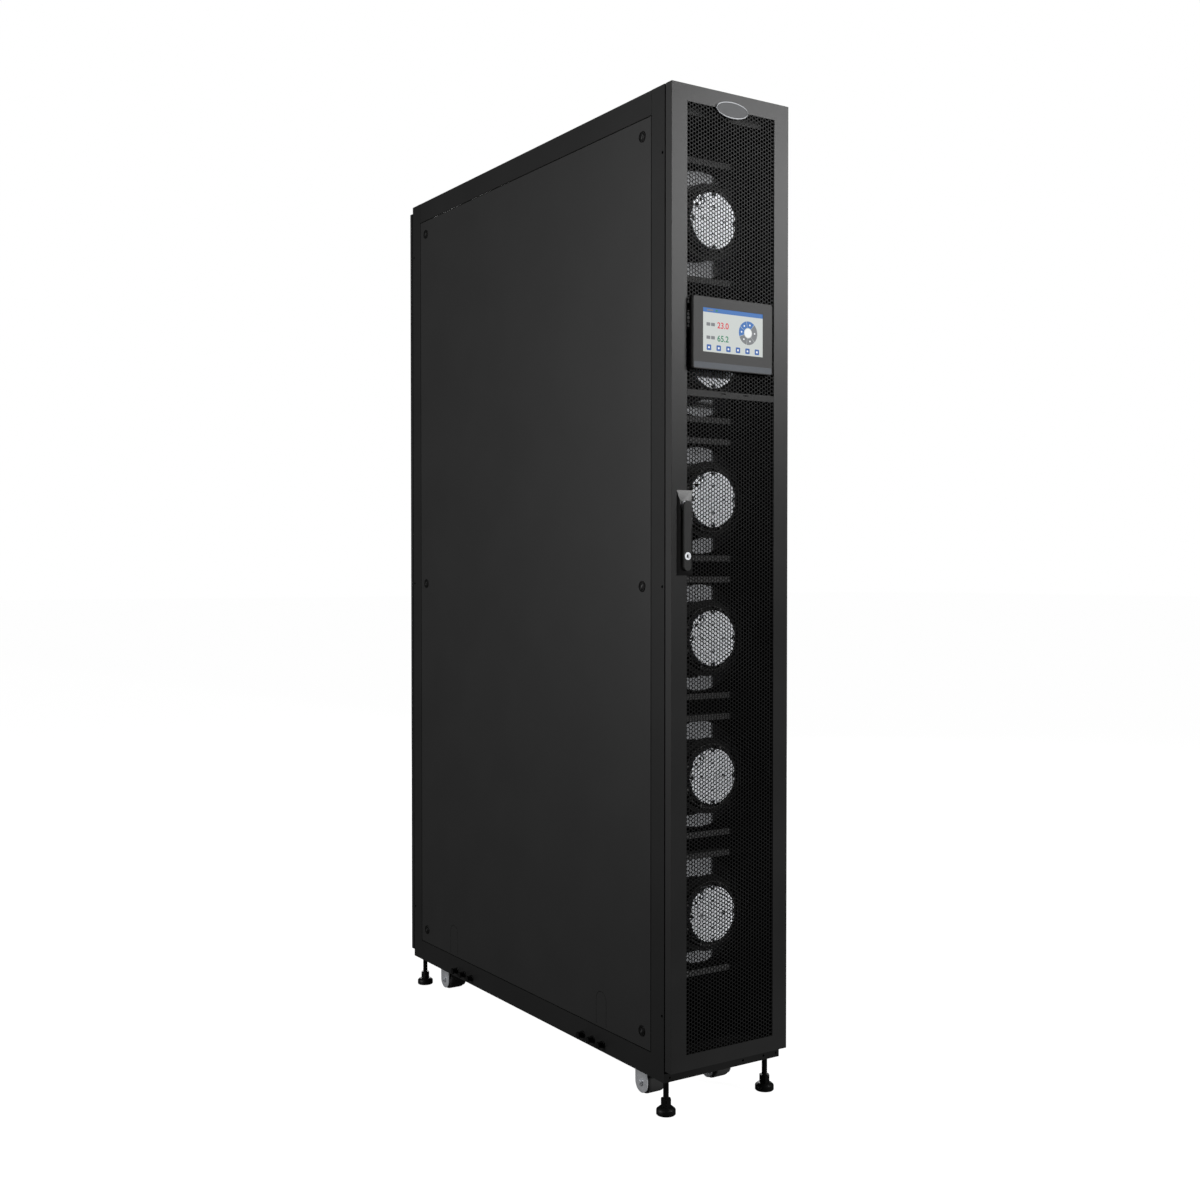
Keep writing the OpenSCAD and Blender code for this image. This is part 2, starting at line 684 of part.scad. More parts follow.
// the hinges' fixed halves: a plate on the frame, an arm and a pin
module hinge_halves(axis_x, axis_y, arm_half, reach, pin_r, zs) for (z = zs) {
    box([post_x + 1, hw - 2], [-hf - hinge_plate_t, -hf], [z - 18, z + 18]);
    box([axis_x - arm_half, axis_x + arm_half], [axis_y - reach, -hf], [z - hinge_arm_t / 2, z + hinge_arm_t / 2]);
    rod_z(pin_r, axis_x, axis_y, [z - 12, z + 12]);
}

// the perforated sheet of a door: a coarse grid of openings, with room for the handle's tub
module mesh_sheet(face, low, high) upright([-face + door_skin, -face + door_skin + mesh_t]) difference() {
    z = [low + border_bottom, high - border_top];
    pitch = [2 * open_x / mesh_columns, (z[1] - z[0]) / mesh_rows];
    translate([-open_x - mesh_lap, z[0] - mesh_lap])
        square([2 * (open_x + mesh_lap), z[1] - z[0] + 2 * mesh_lap]);
    for (i = [0:mesh_columns - 1], k = [0:mesh_rows - 1])
        translate([-open_x + i * pitch[0] + mesh_bar / 2, z[0] + k * pitch[1] + mesh_bar / 2])
            square([pitch[0] - mesh_bar, pitch[1] - mesh_bar]);
    translate([-hw, hz - tub_h / 2 - clear])
        square([hw + handle_x + tub_w / 2 + clear, tub_h + 2 * clear]);
}

front_axis = [hw - front_axis_in, -hf - door_gap - front_axis_up];
rear_axis = [hw - rear_axis_in, -hf - door_gap - rear_axis_up];
hinge_in = 160;                             // end hinges' distance from the frame's ends
hinge_drop = 60;                            // middle hinge's distance under the frame's middle
hinge_zs = [z0 + hinge_in, zm - hinge_drop, z1 - hinge_in];
front_pin = 3;
hinge_plate_t = 2;
rear_pin = 2.2;

module front_door_frame() color([0.13, 0.13, 0.14])
    door_pan(front_face, front_door_t, fz0, fz1, front_axis[0], front_axis[1], hinge_zs, front_pin);
module rear_door_frame() color([0.13, 0.13, 0.14]) mirror([0, 1, 0])
    door_pan(rear_face, rear_door_t, rz0, rz1, rear_axis[0], rear_axis[1], hinge_zs, rear_pin);

module front_door_mesh() color([0.15, 0.15, 0.16]) difference() {
    mesh_sheet(front_face, fz0, fz1);
    box([display_x - display_w / 2 + 12 - clear, display_x + display_w / 2 - 12 + clear],
        [-front_face, -front_face + 10], [disp_z - display_h / 2 + 10 - clear, disp_z + display_h / 2 - 10 + clear]);
}
module rear_door_mesh() color([0.15, 0.15, 0.16]) mirror([0, 1, 0]) mesh_sheet(rear_face, rz0, rz1);

module front_hinges() color([0.12, 0.12, 0.12])
    hinge_halves(front_axis[0], front_axis[1], 4.5, 6, front_pin, hinge_zs);
module rear_hinges() color([0.12, 0.12, 0.12]) mirror([0, 1, 0])
    hinge_halves(rear_axis[0], rear_axis[1], 2.6, 3.2, rear_pin, hinge_zs);

module door_crossbar() color([0.13, 0.13, 0.14]) difference() {
    box([-open_x, open_x], [-front_face, -front_face + door_skin],
        [cross_z - crossbar_h / 2, cross_z + crossbar_h / 2]);
    for (x = [slot_left, slot_right])
        box([x - slot_half, x + slot_half], [-front_face - e, -front_face + door_skin + e],
            [cross_z + slot_low, cross_z + slot_high]);
}

module badge_plate() color([0.75, 0.76, 0.78]) translate([0, 0, fz1 - border_top])
    upright([-front_face - 3, -front_face]) scale([badge_w / badge_h, 1]) circle(badge_h / 2);

// ---------- display ----------

module display_bezel() color([0.22, 0.22, 0.23]) translate([display_x, 0, disp_z])
    upright([-front_face - display_out, -front_face - display_out + 6]) difference() {
        rounded_plate(display_w, display_h, display_r);
        translate([0, screen_up]) square([screen_w, screen_h], center = true);
    }

module display_screen() color([0.85, 0.88, 0.90]) translate([display_x, 0, disp_z + screen_up])
    upright([-front_face - display_out + 0.8, -front_face - display_out + 6])
        square([screen_w, screen_h], center = true);

module display_housing() color([0.10, 0.10, 0.10]) translate([display_x, 0, disp_z]) {
    upright([-front_face - display_out + 6, -front_face + door_skin])
        rounded_plate(display_w - 1, display_h - 1, display_r);
    upright([-front_face + door_skin, -front_face + door_skin + mesh_t + 10])
        square([display_w - 24, display_h - 20], center = true);
}

// ---------- door handles, drawn for an outer face at y = 0 that faces -Y ----------

module handle_housing(t) difference() {
    union() {
        // rim with sloping sides
        intersection() {
            translate([0, 0, hz - handle_h / 2]) linear_extrude(handle_h) polygon([[-handle_w / 2, 0],
                [-handle_w / 2 + 5.5, -handle_rim], [handle_w / 2 - 5.5, -handle_rim], [handle_w / 2, 0]]);
            translate([-handle_w / 2, 0, hz]) rotate([90, 0, 90]) linear_extrude(handle_w)
                polygon([[0, -handle_h / 2], [-handle_rim, -handle_h / 2 + 8],
                    [-handle_rim, handle_h / 2 - 22], [0, handle_h / 2]]);
        }
        box([-tub_w / 2, tub_w / 2], [0, tub_d], [hz - tub_h / 2, hz + tub_h / 2]);
        rod_y(shaft_d / 2 + 4, 0, [0, t - 2], axis_z);
    }
    rod_y(shaft_d / 2 + run, 0, [-handle_rim - e, t + e], axis_z);
    rod_y(11.5, 0, [-handle_rim - e, -0.9], axis_z);
}

module handle_shaft(t) {
    tip = t + door_gap + cam_in;
    translate([0, 0, axis_z]) {
        rod_y(11, 0, [-2.4, -1.2], 0);
        rod_y(shaft_d / 2, 0, [-2.4, tip + cam_t + 3], 0);
        // tongue and cross pin that the lever tilts on
        box([-3, 3], [-pivot_out, -1.2], [-3, 3]);
        rod_x(1.8, [-3, 3], -pivot_out, 0);
        rod_x(1.5, [-lever_w / 2 + 1.5, lever_w / 2 - 1.5], -pivot_out, 0);
        // latch cam, towards the post
        box([-cam_reach, 0], [tip, tip + cam_t], [-cam_w / 2, cam_w / 2]);
        rod_y(cam_w / 2, 0, [tip, tip + cam_t], 0);
    }
}

module lever_outline() {
    translate([0, lever_top - lever_w / 2]) circle(lever_w / 2);
    translate([0, lever_top - lever_h + lever_w / 2]) circle(lever_w / 2);
    translate([-lever_w / 2, lever_top - lever_h + lever_w / 2]) square([lever_w, lever_h - lever_w]);
}

module handle_lever() difference() {
    upright([-lever_front, -lever_back]) lever_outline();
    // heel, cut back so that the lever can tilt out
    translate([-lever_w, -lever_back, axis_z]) rotate([90, 0, 90]) linear_extrude(2 * lever_w)
        polygon([[e, 0], [e, 20], [-lever_t + 1.5, 20], [-lever_t + 1.5, lever_axis], [0, 0]]);
    // slot and bore for the shaft's tongue and pin
    box([-3 - 0.3, 3 + 0.3], [-lever_front + 1, -lever_back + e], [axis_z - 9, lever_top + e]);
    rod_x(1.5 + run, [-lever_w / 2 + 1, lever_w / 2 - 1], -pivot_out, axis_z);
    rod_y(lock_d / 2 + run, 0, [-lever_front - e, -lever_back + e], lock_z);
}

module key_cylinder() difference() {
    rod_y(lock_d / 2, 0, [-lever_front - lock_out, -lever_back - 0.2], lock_z);
    box([-0.7, 0.7], [-lever_front - 1, -lever_front + 3], [lock_z - 3.5, lock_z + 3.5]);
}

module on_front_door() translate([handle_x, -front_face, 0]) children();
module on_rear_door() mirror([0, 1, 0]) translate([handle_x, -rear_face, 0]) children();

module front_handle_housing() color([0.07, 0.07, 0.07]) on_front_door() handle_housing(front_door_t);
module front_handle_shaft() color([0.55, 0.56, 0.58]) on_front_door() handle_shaft(front_door_t);
module front_handle_lever() color([0.06, 0.06, 0.06]) on_front_door() handle_lever();
module front_key_cylinder() color([0.82, 0.83, 0.85]) on_front_door() key_cylinder();
module rear_handle_housing() color([0.07, 0.07, 0.07]) on_rear_door() handle_housing(rear_door_t);
module rear_handle_shaft() color([0.55, 0.56, 0.58]) on_rear_door() handle_shaft(rear_door_t);
module rear_handle_lever() color([0.06, 0.06, 0.06]) on_rear_door() handle_lever();
module rear_key_cylinder() color([0.82, 0.83, 0.85]) on_rear_door() key_cylinder();

// ---------- fans ----------

module blade_plan() {
    r1 = eye_d / 2 - 6;
    r2 = wheel_d / 2 - 2;
    curve = 70;
    intersection() {
        difference() { circle(r2); circle(r1); }
        translate([curve - 14, r1 - 22]) difference() { circle(curve + 0.8); circle(curve - 0.8); }
        translate([-60, 20]) square([80, 100]);
    }
}

module fan_rotor(i) color([0.62, 0.63, 0.64]) if (i <= fan_count) translate([0, 0, fan_zs[i - 1]]) {
    // cup with its shaft
    difference() {
        rod_y(cup_r, 0, [arm_y + arm_t + 3, back_y + 12], 0);
        rod_y(core_r + 4, 0, [arm_y + arm_t, back_y + 10], 0);
    }
    rod_y(rotor_shaft_r, 0, [cap_y + 6, back_y + 11], 0);
    // back plate, blades and shroud
    difference() {
        rod_y(wheel_d / 2, 0, [back_y, back_y + sheet_w], 0);
        rod_y(cup_r - 1, 0, [back_y - e, back_y + sheet_w + e], 0);
    }
    for (k = [0:blade_count - 1]) rotate([0, k * 360 / blade_count, 0])
        upright([back_y + sheet_w - e, shroud_y - sheet_w + e]) blade_plan();
    difference() {
        rod_y(wheel_d / 2, 0, [shroud_y - sheet_w, shroud_y], 0);
        rod_y(eye_d / 2, 0, [shroud_y - sheet_w - e, shroud_y + e], 0);
    }
}

module fan_motors() color([0.80, 0.81, 0.82]) for (z = fan_zs) translate([0, 0, z]) difference() {
    union() {
        rod_y(hub_d / 2, 0, [cap_y, arm_y], 0);
        rod_y(core_r, 0, [arm_y, back_y + 6], 0);
    }
    rod_y(rotor_shaft_r + run, 0, [cap_y + 5, back_y + 7], 0);
    for (a = [0:90:270]) rotate([0, a, 0]) rod_y(motor_screw_d / 2, motor_screw_r, [cap_y - e, cap_y + 2], 0);
    // cable outlet at the cap's upper left
    rotate([0, 48, 0]) box([-hub_d / 2 - 1, -hub_d / 2 + outlet_in], [cap_y - e, cap_y + outlet_t],
        [-outlet_w / 2, outlet_w / 2]);
}

module fan_brackets() color([0.20, 0.20, 0.21]) for (z = fan_zs) translate([0, 0, z]) {
    half = fan_frame_h / 2;
    difference() {
        union() {
            rod_y(ring_plate_d / 2, 0, [arm_y, arm_y + arm_t], 0);
            for (a = [45, 135]) rotate([0, a, 0]) box([-half * 1.3, half * 1.3], [arm_y, arm_y + arm_t], [-7, 7]);
        }
        rod_y(core_r + clear, 0, [arm_y - e, arm_y + arm_t + e], 0);
        for (s = [-1, 1]) {
            box([-2 * half, 2 * half], [arm_y - e, arm_y + arm_t + e],
                s > 0 ? [half - fan_bar_h, 2 * half] : [-2 * half, -half + fan_bar_h]);
            box(s > 0 ? [inner_x, 2 * half] : [-2 * half, -inner_x], [arm_y - e, arm_y + arm_t + e], [-half, half]);
        }
    }
    for (m = [0, 1]) mirror([0, 0, m]) {
        box([-inner_x, inner_x], [arm_y, arm_y + arm_t], [half - fan_bar_h, half]);
        box([-inner_x, inner_x], [arm_y, arm_y + arm_t + 20], [half - sheet_w, half]);
    }
}

module fan_bulkhead() color([0.50, 0.51, 0.52]) difference() {
    union() {
        box([-inner_x, inner_x], [bulk_y, bulk_y + sheet_w], [z0 + rail_h + 1, z1 - rail_h - 1]);
        left_and_right() box([inner_x - sheet_w, inner_x], [-yi + seat_w - 4, bulk_y + sheet_w],
            [z0 + rail_h + 1, z1 - rail_h - 1]);
    }
    for (z = fan_zs) rod_y(nozzle_r + nozzle_hole, 0, [bulk_y - e, bulk_y + sheet_w + e], z);
}

module inlet_nozzles() color([0.66, 0.67, 0.68]) for (z = fan_zs) translate([0, bulk_y + sheet_w, z])
    turned_y([[nozzle_r + nozzle_flange, 0], [nozzle_r + nozzle_flange, nozzle_t],
        [nozzle_r + nozzle_flare - nozzle_t, nozzle_t], [nozzle_r + 2, -6],
        [nozzle_r - nozzle_t, -16], [nozzle_r - nozzle_t, -nozzle_l], [nozzle_r, -nozzle_l],
        [nozzle_r, -17], [nozzle_r + 5, -9], [nozzle_r + nozzle_flare, 0]]);

// ---------- coil and water ----------

function hairpin_zs() = [for (k = [0:hairpins - 1]) coil_z0 + hairpin_end + k * hairpin_step];

module coil_fins() {
    module fin(low) translate([0, -coil_y, 0]) rotate([90, 0, 90]) linear_extrude(fin_t) difference() {
        translate([-fin_d / 2, low]) square([fin_d, coil_z1 - low]);
        for (z = hairpin_zs(), s = [-1, 1]) translate([s * row_pitch / 2, z]) circle(tube_d / 2 + run);
    }
    color([0.75, 0.77, 0.80]) for (x = [sheet_left + fin_pitch : fin_pitch : sheet_right - fin_pitch / 2])
        translate([x, 0, 0]) fin(coil_z0);
    // tube sheets, which stand in the drip tray
    color([0.60, 0.62, 0.64]) for (x = [sheet_left, sheet_right]) translate([x, 0, 0])
        fin(floor_z + tray_wall);
}

module coil_circuit() color([0.72, 0.42, 0.28]) {
    for (z = hairpin_zs()) {
        for (y = row_ys) rod_x(tube_d / 2, [sheet_left, header_x], y, z);
        translate([sheet_left, -coil_y, z]) intersection() {
            rotate_extrude() translate([row_pitch / 2, 0]) circle(tube_d / 2);
            box([-2 * row_pitch, 0], [-row_pitch, row_pitch], [-row_pitch, row_pitch]);
        }
    }
    for (y = row_ys) rod_z(header_d / 2, header_x, y, [coil_z0, coil_z1]);
}

module pipe(y, low, high) difference() {
    rod_z(pipe_d / 2, header_x, y, [low, high]);
    rod_z(pipe_d / 2 - pipe_wall, header_x, y, [low - e, high + e]);
}

module water_pipes() color([0.72, 0.42, 0.28]) {
    pipe(row_ys[0], coil_z1, valve_z);
    pipe(row_ys[0], valve_z + valve_h, pipe_top);
    pipe(row_ys[1], coil_z1, pipe_top);
}

module control_valve() {
    color([0.70, 0.58, 0.30]) {
        rod_z(pipe_d / 2 + 4, header_x, row_ys[0], [valve_z, valve_z + valve_h]);
        rod_y(neck_r, header_x, [row_ys[0] - pipe_d / 2 - neck_l, row_ys[0]], valve_z + valve_h / 2);
    }
    color([0.20, 0.22, 0.25]) box([header_x - actuator_left, header_x + actuator_right],
        [row_ys[0] - pipe_d / 2 - neck_l - actuator_d, row_ys[0] - pipe_d / 2 - neck_l],
        [valve_z - 5, valve_z + valve_h + 15]);
}

module drip_tray() color([0.70, 0.71, 0.72]) difference() {
    x = [sheet_left - tray_side, header_x + header_d / 2 + 4];
    y = [-coil_y - fin_d / 2 - tray_front, -coil_y + fin_d / 2 + tray_front];
    box(x, y, [floor_z, floor_z + tray_h]);
    box([x[0] + tray_wall, x[1] - tray_wall], [y[0] + tray_wall, y[1] - tray_wall],
        [floor_z + tray_wall, floor_z + tray_h + e]);
}

module condensate_pump() color([0.16, 0.17, 0.18]) {
    box([-pump_w / 2, pump_w / 2], [pump_y - pump_l / 2, pump_y + pump_l / 2], [floor_z, floor_z + pump_h * 0.7]);
    rod_z(pump_motor_d / 2, 0, pump_y, [floor_z + pump_h * 0.7, floor_z + pump_h]);
    rod_z(drain_d / 2, 0, pump_y, [floor_z - sheet_t - spigot_l, floor_z]);
}

// ---------- filters and electrical box ----------

module air_filters() for (k = [0, 1]) {
    low = filter_z + k * filter_h;
    high = low + filter_h - filter_fit;
    x = inner_x - filter_fit;
    color([0.60, 0.61, 0.62]) difference() {
        box([-x, x], [filter_y, filter_y + filter_d], [low, high]);
        box([-x + filter_bar, x - filter_bar], [filter_y - e, filter_y + filter_d + e],
            [low + filter_bar, high - filter_bar]);
    }
    // pleated medium
    color([0.92, 0.92, 0.88]) {
        step = 2 * (x - filter_bar) / pleats;
        deep = filter_d - 2 * pleat_in;
        translate([-x + filter_bar, filter_y + pleat_in, low + filter_bar])
            linear_extrude(high - low - 2 * filter_bar) polygon(concat(
                [for (i = [0:pleats]) [i * step, i % 2 == 0 ? 0 : deep - pleat_t]],
                [for (i = [pleats:-1:0]) [i * step, i % 2 == 0 ? pleat_t : deep]]));
    }
}

module electrical_box() {
    color([0.55, 0.56, 0.58]) difference() {
        box([-inner_x, inner_x], [ebox_y, ebox_y + ebox_d], [ebox_z, ebox_z + ebox_h]);
        box([-inner_x + ebox_wall, inner_x - ebox_wall], [ebox_y + ebox_wall, ebox_y + ebox_d + e],
            [ebox_z + ebox_wall, ebox_z + ebox_h - ebox_wall]);
    }
    // controller, supplies and relays on their mounting rails
    wall_y = ebox_y + ebox_wall;
    color([0.16, 0.30, 0.22]) box([board_x, board_x + board_w], [wall_y, wall_y + board_t],
        [ebox_z + board_low, ebox_z + ebox_h - board_drop]);
    color([0.25, 0.26, 0.28]) for (x = [board_x : relay_pitch : board_x + 2 * relay_pitch])
        box([x, x + relay_w], [wall_y, wall_y + relay_d], [ebox_z + relay_z[0], ebox_z + relay_z[1]]);
    // cover with the switch's base
    color([0.58, 0.59, 0.60]) difference() {
        box([-inner_x, inner_x], [ebox_y + ebox_d, ebox_y + ebox_d + ebox_wall], [ebox_z, ebox_z + ebox_h]);
        rod_y(4 + run, knob_x, [ebox_y + ebox_d - e, ebox_y + ebox_d + 2], knob_z);
    }
}

module main_switch_knob() color([0.75, 0.10, 0.08]) translate([knob_x, ebox_y + ebox_d, knob_z]) {
    rod_y(4, 0, [-20, 4], 0);
    rod_y(knob_d / 2, 0, [ebox_wall + 0.3, 8], 0);
    box([-6, 6], [8, 20], [-knob_d / 2 + 3, knob_d / 2 - 3]);
}

// ---------- the unit ----------

module placed() translate([0, shift_y, 0]) children();

placed() front_frame();
placed() rear_frame();
placed() base_rails();
placed() top_rails();
placed() mid_posts();
placed() floor_panel();
placed() roof_panel();
placed() side_panel_left();
placed() side_panel_right();
placed() panel_fasteners();
placed() rail_bolts();
placed() foot(-1, -1);  // foot_front_left
placed() foot(1, -1);  // foot_front_right
placed() foot(-1, 1);  // foot_rear_left
placed() foot(1, 1);  // foot_rear_right
placed() foot_lock_nuts();
placed() caster_forks();
placed() caster_axles();
placed() caster_wheel(-1, caster_ys[0]);  // caster_wheel_front_left
placed() caster_wheel(1, caster_ys[0]);  // caster_wheel_front_right
placed() caster_wheel(-1, caster_ys[1]);  // caster_wheel_rear_left
placed() caster_wheel(1, caster_ys[1]);  // caster_wheel_rear_right
placed() front_door_frame();
placed() front_door_mesh();
placed() door_crossbar();
placed() badge_plate();
placed() display_bezel();
placed() display_screen();
placed() display_housing();
placed() front_hinges();
placed() front_handle_housing();
placed() front_handle_shaft();
placed() front_handle_lever();
placed() front_key_cylinder();
placed() rear_door_frame();
placed() rear_door_mesh();
placed() rear_hinges();
placed() rear_handle_housing();
placed() rear_handle_shaft();
placed() rear_handle_lever();
placed() rear_key_cylinder();
placed() fan_rotor(1);  // fan_rotor_1
placed() fan_rotor(2);  // fan_rotor_2
placed() fan_rotor(3);  // fan_rotor_3
placed() fan_rotor(4);  // fan_rotor_4
placed() fan_rotor(5);  // fan_rotor_5
placed() fan_rotor(6);  // fan_rotor_6
placed() fan_motors();
placed() fan_brackets();
placed() fan_bulkhead();
placed() inlet_nozzles();
placed() coil_fins();
placed() coil_circuit();
placed() water_pipes();
placed() control_valve();
placed() drip_tray();
placed() condensate_pump();
placed() air_filters();
placed() electrical_box();
placed() main_switch_knob();
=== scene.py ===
"""Looks of the in-row cooling unit: metres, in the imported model's frame. +Z is up and the front faces -Y."""
import json
import math

import bmesh
import bpy
from mathutils import Matrix, Vector

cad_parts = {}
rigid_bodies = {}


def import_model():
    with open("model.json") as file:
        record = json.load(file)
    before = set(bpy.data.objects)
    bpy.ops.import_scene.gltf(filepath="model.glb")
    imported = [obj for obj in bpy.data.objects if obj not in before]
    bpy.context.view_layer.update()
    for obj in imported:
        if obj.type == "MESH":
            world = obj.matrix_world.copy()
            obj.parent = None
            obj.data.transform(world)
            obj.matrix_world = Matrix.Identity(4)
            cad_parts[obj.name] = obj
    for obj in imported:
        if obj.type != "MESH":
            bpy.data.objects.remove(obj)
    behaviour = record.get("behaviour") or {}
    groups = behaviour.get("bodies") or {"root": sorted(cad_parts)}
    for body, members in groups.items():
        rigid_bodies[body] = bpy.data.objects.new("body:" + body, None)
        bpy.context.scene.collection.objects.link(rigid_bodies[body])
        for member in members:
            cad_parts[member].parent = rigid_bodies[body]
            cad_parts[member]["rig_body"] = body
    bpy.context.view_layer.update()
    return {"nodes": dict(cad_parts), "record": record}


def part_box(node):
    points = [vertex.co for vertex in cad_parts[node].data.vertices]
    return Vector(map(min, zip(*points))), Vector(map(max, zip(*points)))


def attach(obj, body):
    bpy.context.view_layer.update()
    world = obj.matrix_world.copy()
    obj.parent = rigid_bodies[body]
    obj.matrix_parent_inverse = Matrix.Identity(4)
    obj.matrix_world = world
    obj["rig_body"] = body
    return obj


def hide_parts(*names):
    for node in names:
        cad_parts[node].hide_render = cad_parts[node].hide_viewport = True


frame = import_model()
MM = 0.001
WELD = 1e-6                # points closer than this are one point


# ---------- materials ----------

MATERIALS = {}
SCREEN_GLOW = 0.95
COOL = (0.98, 1.0, 1.04)
BLUISH = (0.9, 1.0, 1.15)


def grey(value, tint=(1, 1, 1)):
    """A grey of the given brightness, with a little colour from tint."""
    return [value * t for t in tint]


def new_material(name):
    """A new entry of MATERIALS, with its nodes, its links and its principled shader."""
    mat = bpy.data.materials.new(name)
    MATERIALS[name] = mat
    mat.use_nodes = True
    nodes, links = mat.node_tree.nodes, mat.node_tree.links
    return mat, nodes, links, nodes["Principled BSDF"]


def noise(nodes, links, scale, detail=4.0, stretch=(1, 1, 1)):
    """A noise texture's output, in the object's own metres."""
    place = nodes.new("ShaderNodeTexCoord")
    mapping = nodes.new("ShaderNodeMapping")
    mapping.inputs["Scale"].default_value = stretch
    texture = nodes.new("ShaderNodeTexNoise")
    texture.inputs["Scale"].default_value = scale
    texture.inputs["Detail"].default_value = detail
    links.new(place.outputs["Object"], mapping.inputs["Vector"])
    links.new(mapping.outputs["Vector"], texture.inputs["Vector"])
    return texture.outputs["Fac"]


def ramp(nodes, links, source, low, high, start=0.3, end=0.7):
    """A colour that runs from low to high as source runs from start to end."""
    node = nodes.new("ShaderNodeValToRGB")
    node.color_ramp.elements[0].position = start
    node.color_ramp.elements[1].position = end
    node.color_ramp.elements[0].color = (*low, 1)
    node.color_ramp.elements[1].color = (*high, 1)
    links.new(source, node.inputs["Fac"])
    return node.outputs["Color"]


def spread(nodes, links, source, low, high):
    """A number that runs from low to high with source."""
    node = nodes.new("ShaderNodeMapRange")
    node.inputs["From Min"].default_value = 0.3
    node.inputs["From Max"].default_value = 0.7
    node.inputs["To Min"].default_value = low
    node.inputs["To Max"].default_value = high
    links.new(source, node.inputs["Value"])
    return node.outputs["Result"]


def surface(name, low, high, rough, grain, bump, metallic=0.0, blotch=6.0, stretch=(1, 1, 1),
            specular=0.5, coat=0.0):
    """A finish: two close colours in soft blotches, and a grain that sets roughness and a slight relief."""
    mat, nodes, links, shader = new_material(name)
    blotches = noise(nodes, links, blotch)
    fine = noise(nodes, links, grain, 3.0, stretch)
    links.new(ramp(nodes, links, blotches, low, high), shader.inputs["Base Color"])
    links.new(spread(nodes, links, fine, rough[0], rough[1]), shader.inputs["Roughness"])
    relief = nodes.new("ShaderNodeBump")
    relief.inputs["Strength"].default_value = bump
    relief.inputs["Distance"].default_value = 0.2 * MM
    links.new(fine, relief.inputs["Height"])
    links.new(relief.outputs["Normal"], shader.inputs["Normal"])
    shader.inputs["Metallic"].default_value = metallic
    shader.inputs["Specular IOR Level"].default_value = specular
    shader.inputs["Coat Weight"].default_value = coat
    return mat


def glow(name, color):
    """A lit patch of the display behind its clear front."""
    mat, nodes, links, shader = new_material(name)
    dots = noise(nodes, links, 2200, 1.0)
    links.new(ramp(nodes, links, dots, grey(0.02), grey(0.025)), shader.inputs["Base Color"])
    links.new(ramp(nodes, links, dots, [c * 0.96 for c in color], color), shader.inputs["Emission Color"])
    shader.inputs["Emission Strength"].default_value = SCREEN_GLOW
    shader.inputs["Roughness"].default_value = 0.35
    shader.inputs["Specular IOR Level"].default_value = 0.08


# each finish has its two colours, its range of roughness, and its grain's scale and relief
surface("frame_paint", grey(0.007), grey(0.009), (0.36, 0.46), 900, 0.08, specular=0.3)
surface("panel_paint", grey(0.009), grey(0.011), (0.36, 0.46), 900, 0.08)
surface("inner_paint", grey(0.028), grey(0.034), (0.45, 0.6), 900, 0.2, specular=0.15)
surface("door_paint", grey(0.007), grey(0.009), (0.36, 0.46), 900, 0.08)
surface("mesh_paint", grey(0.004), grey(0.006), (0.36, 0.46), 900, 0.08, specular=0.15)
surface("fastener_black", grey(0.002), grey(0.003), (0.35, 0.5), 600, 0.2, specular=0.15)
surface("zinc", grey(0.50, COOL), grey(0.62, COOL), (0.28, 0.45), 350, 0.15, 0.6, 40)
surface("wheel_rubber", grey(0.012), grey(0.018), (0.5, 0.7), 500, 0.3)
surface("badge_metal", grey(0.040, COOL), grey(0.048, COOL), (0.4, 0.5), 700, 0.1, specular=0.3)
surface("badge_rim", grey(0.62, COOL), grey(0.68, COOL), (0.2, 0.3), 500, 0.05, 0.3)
surface("bezel_paint", grey(0.020), grey(0.024), (0.45, 0.6), 1500, 0.15)
surface("chin_paint", grey(0.038, BLUISH), grey(0.044, BLUISH), (0.4, 0.55), 1500, 0.15)
surface("housing_black", grey(0.004), grey(0.006), (0.5, 0.65), 900, 0.2, specular=0.15)
surface("handle_black", grey(0.012), grey(0.015), (0.30, 0.42), 1200, 0.15)
# the handle housing's near-black stands in for the shadowed recess round the lever: painted shade
surface("handle_recess_shade", grey(0.003), grey(0.004), (0.30, 0.40), 1200, 0.1, specular=0.65)
surface("lock_chrome", grey(0.58, COOL), grey(0.64, COOL), (0.2, 0.3), 400, 0.05, 0.3)
surface("fan_metal", grey(0.15, COOL), grey(0.18, COOL), (0.35, 0.5), 300, 0.1, 0.1, 20)
surface("motor_alloy", grey(0.72, COOL), grey(0.78, COOL), (0.42, 0.52), 500, 0.05, 0.35, 25)
surface("galvanised", grey(0.40, COOL), grey(0.55, COOL), (0.3, 0.5), 120, 0.1, 0.8, 60)
surface("fin_aluminium", grey(0.62, COOL), grey(0.72, COOL), (0.3, 0.42), 300, 0.1, 0.9)
surface("copper", (0.60, 0.27, 0.15), (0.72, 0.36, 0.22), (0.25, 0.42), 200, 0.1, 1.0, 30)
surface("valve_brass", (0.55, 0.38, 0.14), (0.65, 0.47, 0.2), (0.28, 0.42), 200, 0.1, 1.0)
surface("pump_plastic", grey(0.02), grey(0.028), (0.4, 0.55), 800, 0.2)
surface("filter_medium", (0.66, 0.66, 0.62), (0.76, 0.76, 0.72), (0.8, 0.95), 700, 0.6)
surface("box_grey", grey(0.38, COOL), grey(0.43, COOL), (0.4, 0.55), 900, 0.3)
surface("switch_red", (0.5, 0.015, 0.01), (0.58, 0.03, 0.02), (0.2, 0.3), 600, 0.05, coat=0.3)
surface("screw_steel", grey(0.10), grey(0.14), (0.3, 0.45), 500, 0.1, 0.8)
glow("screen_field", (0.60, 0.635, 0.615))
glow("screen_blue", (0.038, 0.16, 0.46))
glow("screen_icon", (0.022, 0.11, 0.39))
glow("screen_red", (0.66, 0.015, 0.03))
glow("screen_green", (0.02, 0.22, 0.11))
glow("screen_grey", (0.19, 0.20, 0.21))
glow("screen_white", (0.88, 0.90, 0.90))

